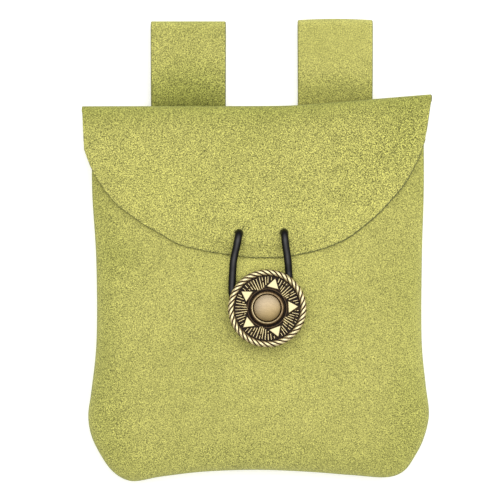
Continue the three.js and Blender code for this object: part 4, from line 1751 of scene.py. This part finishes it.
    def rays(self, r: np.ndarray, turn: np.ndarray) -> np.ndarray:
        """Height of the rays as a share of their relief, between the triangles.

        A ray is a round ridge, 1 - (sideways distance / half width)^2, from the thin ring or the
        triangle's side out to the rope, and some are parted in two.

        Args:
            r: Radius at each point.
            turn: Angle at each point, in degrees from the first triangle's tip.

        Returns:
            Heights from 0 to 1.
        """
        draw = np.random.default_rng(self.ray_seed)
        wide, less, taper_from, taper_run = self.ray_taper
        sector = 360 / self.triangles
        base, tip, half = (share * self.radius for share in self.triangle_shape)
        height = np.zeros_like(r)
        for k in range(self.triangles):
            for j, share in enumerate(np.linspace(0.1, 0.9, self.ray_count)):
                middle = (k + share + draw.uniform(*self.ray_scatter)) * sector
                aside = math.radians(min(share, 1 - share) * sector)
                side = tip * half / (half * math.cos(aside) + (tip - base) * math.sin(aside))
                start = self.ray_starts[j % 2] * self.radius
                near = max(start, side + self.ray_clear * self.radius)
                near += draw.uniform(*self.end_scatter) * self.radius
                far = (self.ray_end - draw.uniform(*self.end_scatter)) * self.radius
                taper = wide - less * (r / self.radius - taper_from) / taper_run
                width = draw.uniform(*self.ray_widths) * taper
                parting = draw.uniform(*self.parted_at) * self.radius
                parted = draw.uniform() < self.parted_share
                shift = draw.uniform(*self.parted_shift) if parted else 0.0
                away = (turn - middle - np.where(r > parting, shift, 0) + 180) % 360 - 180
                ridge = np.maximum(0, 1 - (r * np.radians(away) / width) ** 2)
                reach = ease((r - near) / self.end_run) * ease((far - r) / self.end_run)
                notch = np.exp(-(((r - parting) / self.parted_reach) ** 2))
                split = 1 - self.parted_depth * parted * notch
                height = np.maximum(height, ridge * reach * split)
        return height

    def triangle_height(self, r: np.ndarray, turn: np.ndarray) -> np.ndarray:
        """Height of the flat triangles as a share: 1 inside, with a short slope at their sides.

        Args:
            r: Radius at each point.
            turn: Angle at each point, in degrees from the first triangle's tip.

        Returns:
            Heights from 0 to 1.
        """
        sector = 360 / self.triangles
        local = np.radians((turn + sector / 2) % sector - sector / 2)
        x, y = r * np.cos(local), np.abs(r * np.sin(local))
        base, tip, half = (share * self.radius for share in self.triangle_shape)
        lean = math.hypot(tip - base, half)
        inside = np.minimum(x - base, ((tip - x) * half - y * (tip - base)) / lean)
        run, lead = self.triangle_slope
        return ease(inside / run + lead)

    def build(self, finish: bpy.types.Material) -> bpy.types.Object:
        """Builds and dresses the button.

        The section is carried round in a circle. Rays and triangles raise its field, and grooves
        (1 - |sin(strands * angle / 2 + slant * turn / 2)|)^power part the rope into strands.

        Args:
            finish: The brass.

        Returns:
            The button.
        """
        section, rope_turn = self.profile()
        theta = 2 * np.pi * np.arange(self.divisions) / self.divisions
        r, angle = np.meshgrid(section[:, 0], theta, indexing="ij")
        z = np.repeat(section[:, 1:], self.divisions, axis=1)
        degrees = np.degrees(angle) - self.triangle_turn
        top = (np.arange(len(section)) < np.argmax(~np.isnan(rope_turn)))[:, None]
        on_field = top & (r > self.relief_from * self.radius)
        rays = np.where(on_field, self.rays(r, degrees), 0)
        flats = np.where(on_field, self.triangle_height(r, degrees), 0)
        fade = ease((self.relief_end * self.radius - r) / self.relief_run)
        raised = np.maximum(self.rises[0] * rays, self.rises[1] * flats) * fade
        z = z + self.relief * raised
        draw = np.random.default_rng(self.strand_seed)
        turn = np.nan_to_num(rope_turn)[:, None]
        phase = self.strands * angle + self.strand_slant * turn
        strand = np.floor(phase / (2 * np.pi)).astype(int) % self.strands
        parted = (1 - np.abs(np.sin(phase / 2))) ** self.strand_power
        rope = self.rope_share * self.radius
        on_rope = ~np.isnan(rope_turn)[:, None]
        uneven = self.strand_scatter * draw.uniform(0, 1, self.strands)[strand]
        shrink = np.where(on_rope, self.strand_depth * rope * parted + uneven, 0)
        r = r - shrink * np.cos(turn) * on_rope
        z = z - shrink * np.sin(turn) * on_rope
        # Painted highlight: how far each place faces the lit side, 1 there and 0 opposite.
        toward_light = (1 + np.cos(angle - math.radians(self.lit_side))) / 2
        on_dome = top & (r < self.dome_edge * self.radius)
        # Painted light on the dome: lighter on its side towards the belt loops, darker on the
        # other.
        up = np.sin(angle - math.radians(self.head_turn))
        head = up * r / (self.dome_share * self.radius)
        marks = {
            "worn": self.worn(r, z, raised, parted, on_rope, turn, on_field, toward_light),
            "satin": on_dome.astype(float),
            "painted_dome_light": np.where(on_dome, ease((1 + head) / 2), 0),
            "level": flats * fade,
        }
        points = np.stack([r * np.cos(angle), r * np.sin(angle), z], -1).reshape(-1, 3)
        index = np.arange(len(points)).reshape(z.shape)
        quads = grid_quads(index, around=True)[:, ::-1]
        flat_marks = {key: value.ravel() for key, value in marks.items()}
        piece = Shell(self.seated(points), quads, flat_marks).made(self.name, finish, Slot.BRASS)
        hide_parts("button")
        return piece

    def worn(
        self,
        r: np.ndarray,
        z: np.ndarray,
        raised: np.ndarray,
        parted: np.ndarray,
        on_rope: np.ndarray,
        turn: np.ndarray,
        on_field: np.ndarray,
        toward_light: np.ndarray,
    ) -> np.ndarray:
        """How much each place is worn bright, from 0 in the recesses to 1.

        Rays and triangles ease from dark to bright as they rise, bands of wear run round the
        ring, the collar and its groove, and the rope is bright on top and dark in its grooves. The
        collar's crest is also painted brighter on its lit side: a painted highlight.

        Args:
            r: Radius at each point.
            z: Height at each point.
            raised: Height of rays and triangles as a share of the relief.
            parted: Depth of the grooves between the rope's strands.
            on_rope: Where the rope is.
            turn: The rope's turn angle.
            on_field: Where the field is.
            toward_light: 1 on the lit side, where the collar's crest has most painted highlight, 0
                opposite.

        Returns:
            The wear at each point.
        """
        share = r / self.radius
        wear = np.full(r.shape, 0.5)
        low, run = self.raised_wear
        wear = np.where(on_field, ease((raised - low) / run), wear)
        on_ring = on_field & (share < 0.53)
        wear = np.where(on_ring, np.maximum(self.ring_wear.at(share), wear), wear)
        collar = (share > 0.33) & (share < self.relief_from) & (z > self.standoff + 0.5)
        # The collar's crest: worn, with a painted highlight on its lit side.
        away, near = self.crest_light
        crest = self.crest_wear_and_highlight.at(share) * (away + near * toward_light)
        wear = np.where(collar, self.bronze_wear.at(share) + crest, wear)
        dark = 1 - self.groove_dark.at(share)
        wear = np.where(z > self.standoff + 2, wear * dark, wear)
        depth, gain, most = self.rope_dark
        low, run = self.rope_run
        rope = 1 - depth * np.minimum(parted * gain, most)
        return np.where(on_rope, rope * ease((np.sin(turn) - low) / run), wear)

    def seated(self, points: np.ndarray) -> np.ndarray:
        """Turns the button from upright to its lean and puts it on the front.

        Its axis is the front's normal from the slopes over 4 mm either way. The turn is the one
        straight from upright: p + (v x p) + v x (v x p) / (1 + cos), where v is up x axis.

        Args:
            points: Points about an upright axis, 0 at the leather.

        Returns:
            The points in place.
        """
        x, y = FORM.button_place
        reach = 4.0
        slope_x = (FORM.front_top(x + reach, y) - FORM.front_top(x - reach, y)) / (2 * reach)
        slope_y = (FORM.front_top(x, y + reach) - FORM.front_top(x, y - reach)) / (2 * reach)
        axis = unit(np.array([-slope_x, -slope_y, 1.0]))
        v = np.cross((0.0, 0.0, 1.0), axis)
        once = np.cross(v, points)
        return points + once + np.cross(v, once) / (1 + axis[2]) + (x, y, FORM.front_top(x, y))


# Studio


@dataclass
class Studio:
    """Plain pale floor, soft light from overhead, and the camera straight above the pouch."""

    view_centre: tuple[float, float] = (-2.6, 0.2)
    view_width: float = 199.3
    view_level: float = 12.0
    camera_height: float = 3000.0
    sensor: float = 36.0
    world_strength: float = 0.52
    floor_half: float = 6.0
    floor_level: float = -0.00003
    floor_glow: float = 0.42
    white: tuple[float, float, float, float] = (1.0, 1.0, 1.0, 1.0)

    def camera(self) -> None:
        """Sets the camera so that the view is as wide as the photograph at the flap's height."""
        data = bpy.data.cameras.new("camera")
        data.sensor_width = self.sensor
        data.lens = self.sensor * (self.camera_height - self.view_level) / self.view_width
        data.clip_start, data.clip_end = 0.1, 20.0
        camera = bpy.data.objects.new("camera", data)
        camera.location = Vector((*self.view_centre, self.camera_height)) * MM
        bpy.context.scene.collection.objects.link(camera)
        bpy.context.scene.camera = camera

    def floor(self) -> None:
        """A wide floor just under the pouch, near white."""
        nodes = Nodes("pale_floor")
        paper = nodes.noise(nodes.place(), 3.0)
        nodes.finish(
            Base_Color=nodes.blend(paper, (0.88, 0.88, 0.88), (0.9, 0.9, 0.9)),
            Roughness=0.9,
            Emission_Color=self.white,
            Emission_Strength=self.floor_glow,
            Specular_IOR_Level=0.1,
        )
        signs = ((-1, -1), (1, -1), (1, 1), (-1, 1))
        corners = [(a * self.floor_half, b * self.floor_half, self.floor_level) for a, b in signs]
        mesh = bpy.data.meshes.new("floor")
        mesh.from_pydata(corners, [], [(0, 1, 2, 3)])
        mesh.materials.append(nodes.material)
        floor = bpy.data.objects.new("floor", mesh)
        bpy.context.scene.collection.objects.link(floor)

    def lamp(self, name: str, place: Sequence[float], size: float, power: float) -> None:
        """Adds a square soft light.

        Args:
            name: Its name.
            place: Where it hangs, in metres. It faces the pouch.
            size: Its side, in metres.
            power: Its power, in watts.
        """
        data = bpy.data.lights.new(name, "AREA")
        data.shape, data.size, data.energy = "SQUARE", size, power
        lamp = bpy.data.objects.new(name, data)
        lamp.location = place
        lamp.rotation_mode = "QUATERNION"
        lamp.rotation_quaternion = (-Vector(place)).to_track_quat("-Z", "Y")
        bpy.context.scene.collection.objects.link(lamp)

    def light(self) -> None:
        """Sets an even white surrounding, an overhead light and a weaker one from the right."""
        world = bpy.data.worlds.new("studio")
        world.use_nodes = True
        background = world.node_tree.nodes["Background"]
        background.inputs["Color"].default_value = self.white
        background.inputs["Strength"].default_value = self.world_strength
        bpy.context.scene.world = world
        self.lamp("overhead", place=(0.2, 1.0, 3.9), size=5.0, power=130.0)
        self.lamp("right", place=(2.6, 0.8, 1.6), size=1.6, power=14.0)
        bpy.context.scene.view_settings.view_transform = "Standard"


def main() -> None:
    """Builds the studio, then each part of the pouch in order."""
    logging.basicConfig(level=logging.INFO, format="%(name)s: %(message)s")
    studio = Studio()
    studio.camera()
    lacing = CordLeather().material()
    ClosureCord().build(lacing)
    suede, thread = Suede().material(), Thread().material()
    FrontPanel().build(suede)
    BackAndFlap().build(suede)
    for loop in (
        BeltLoop("belt_loop_left", middle=-0.389 * FORM.half_flap, top_shift=-0.4),
        BeltLoop("belt_loop_right", middle=0.449 * FORM.half_flap, top_shift=0.1, arch=0.5),
    ):
        loop.build(suede)
        loop.sew(thread, Stitch())
    SeamStitches().build(thread)
    BrassButton().build(AgedBrass().material())
    studio.floor()
    studio.light()


if __name__ == "__main__":
    main()
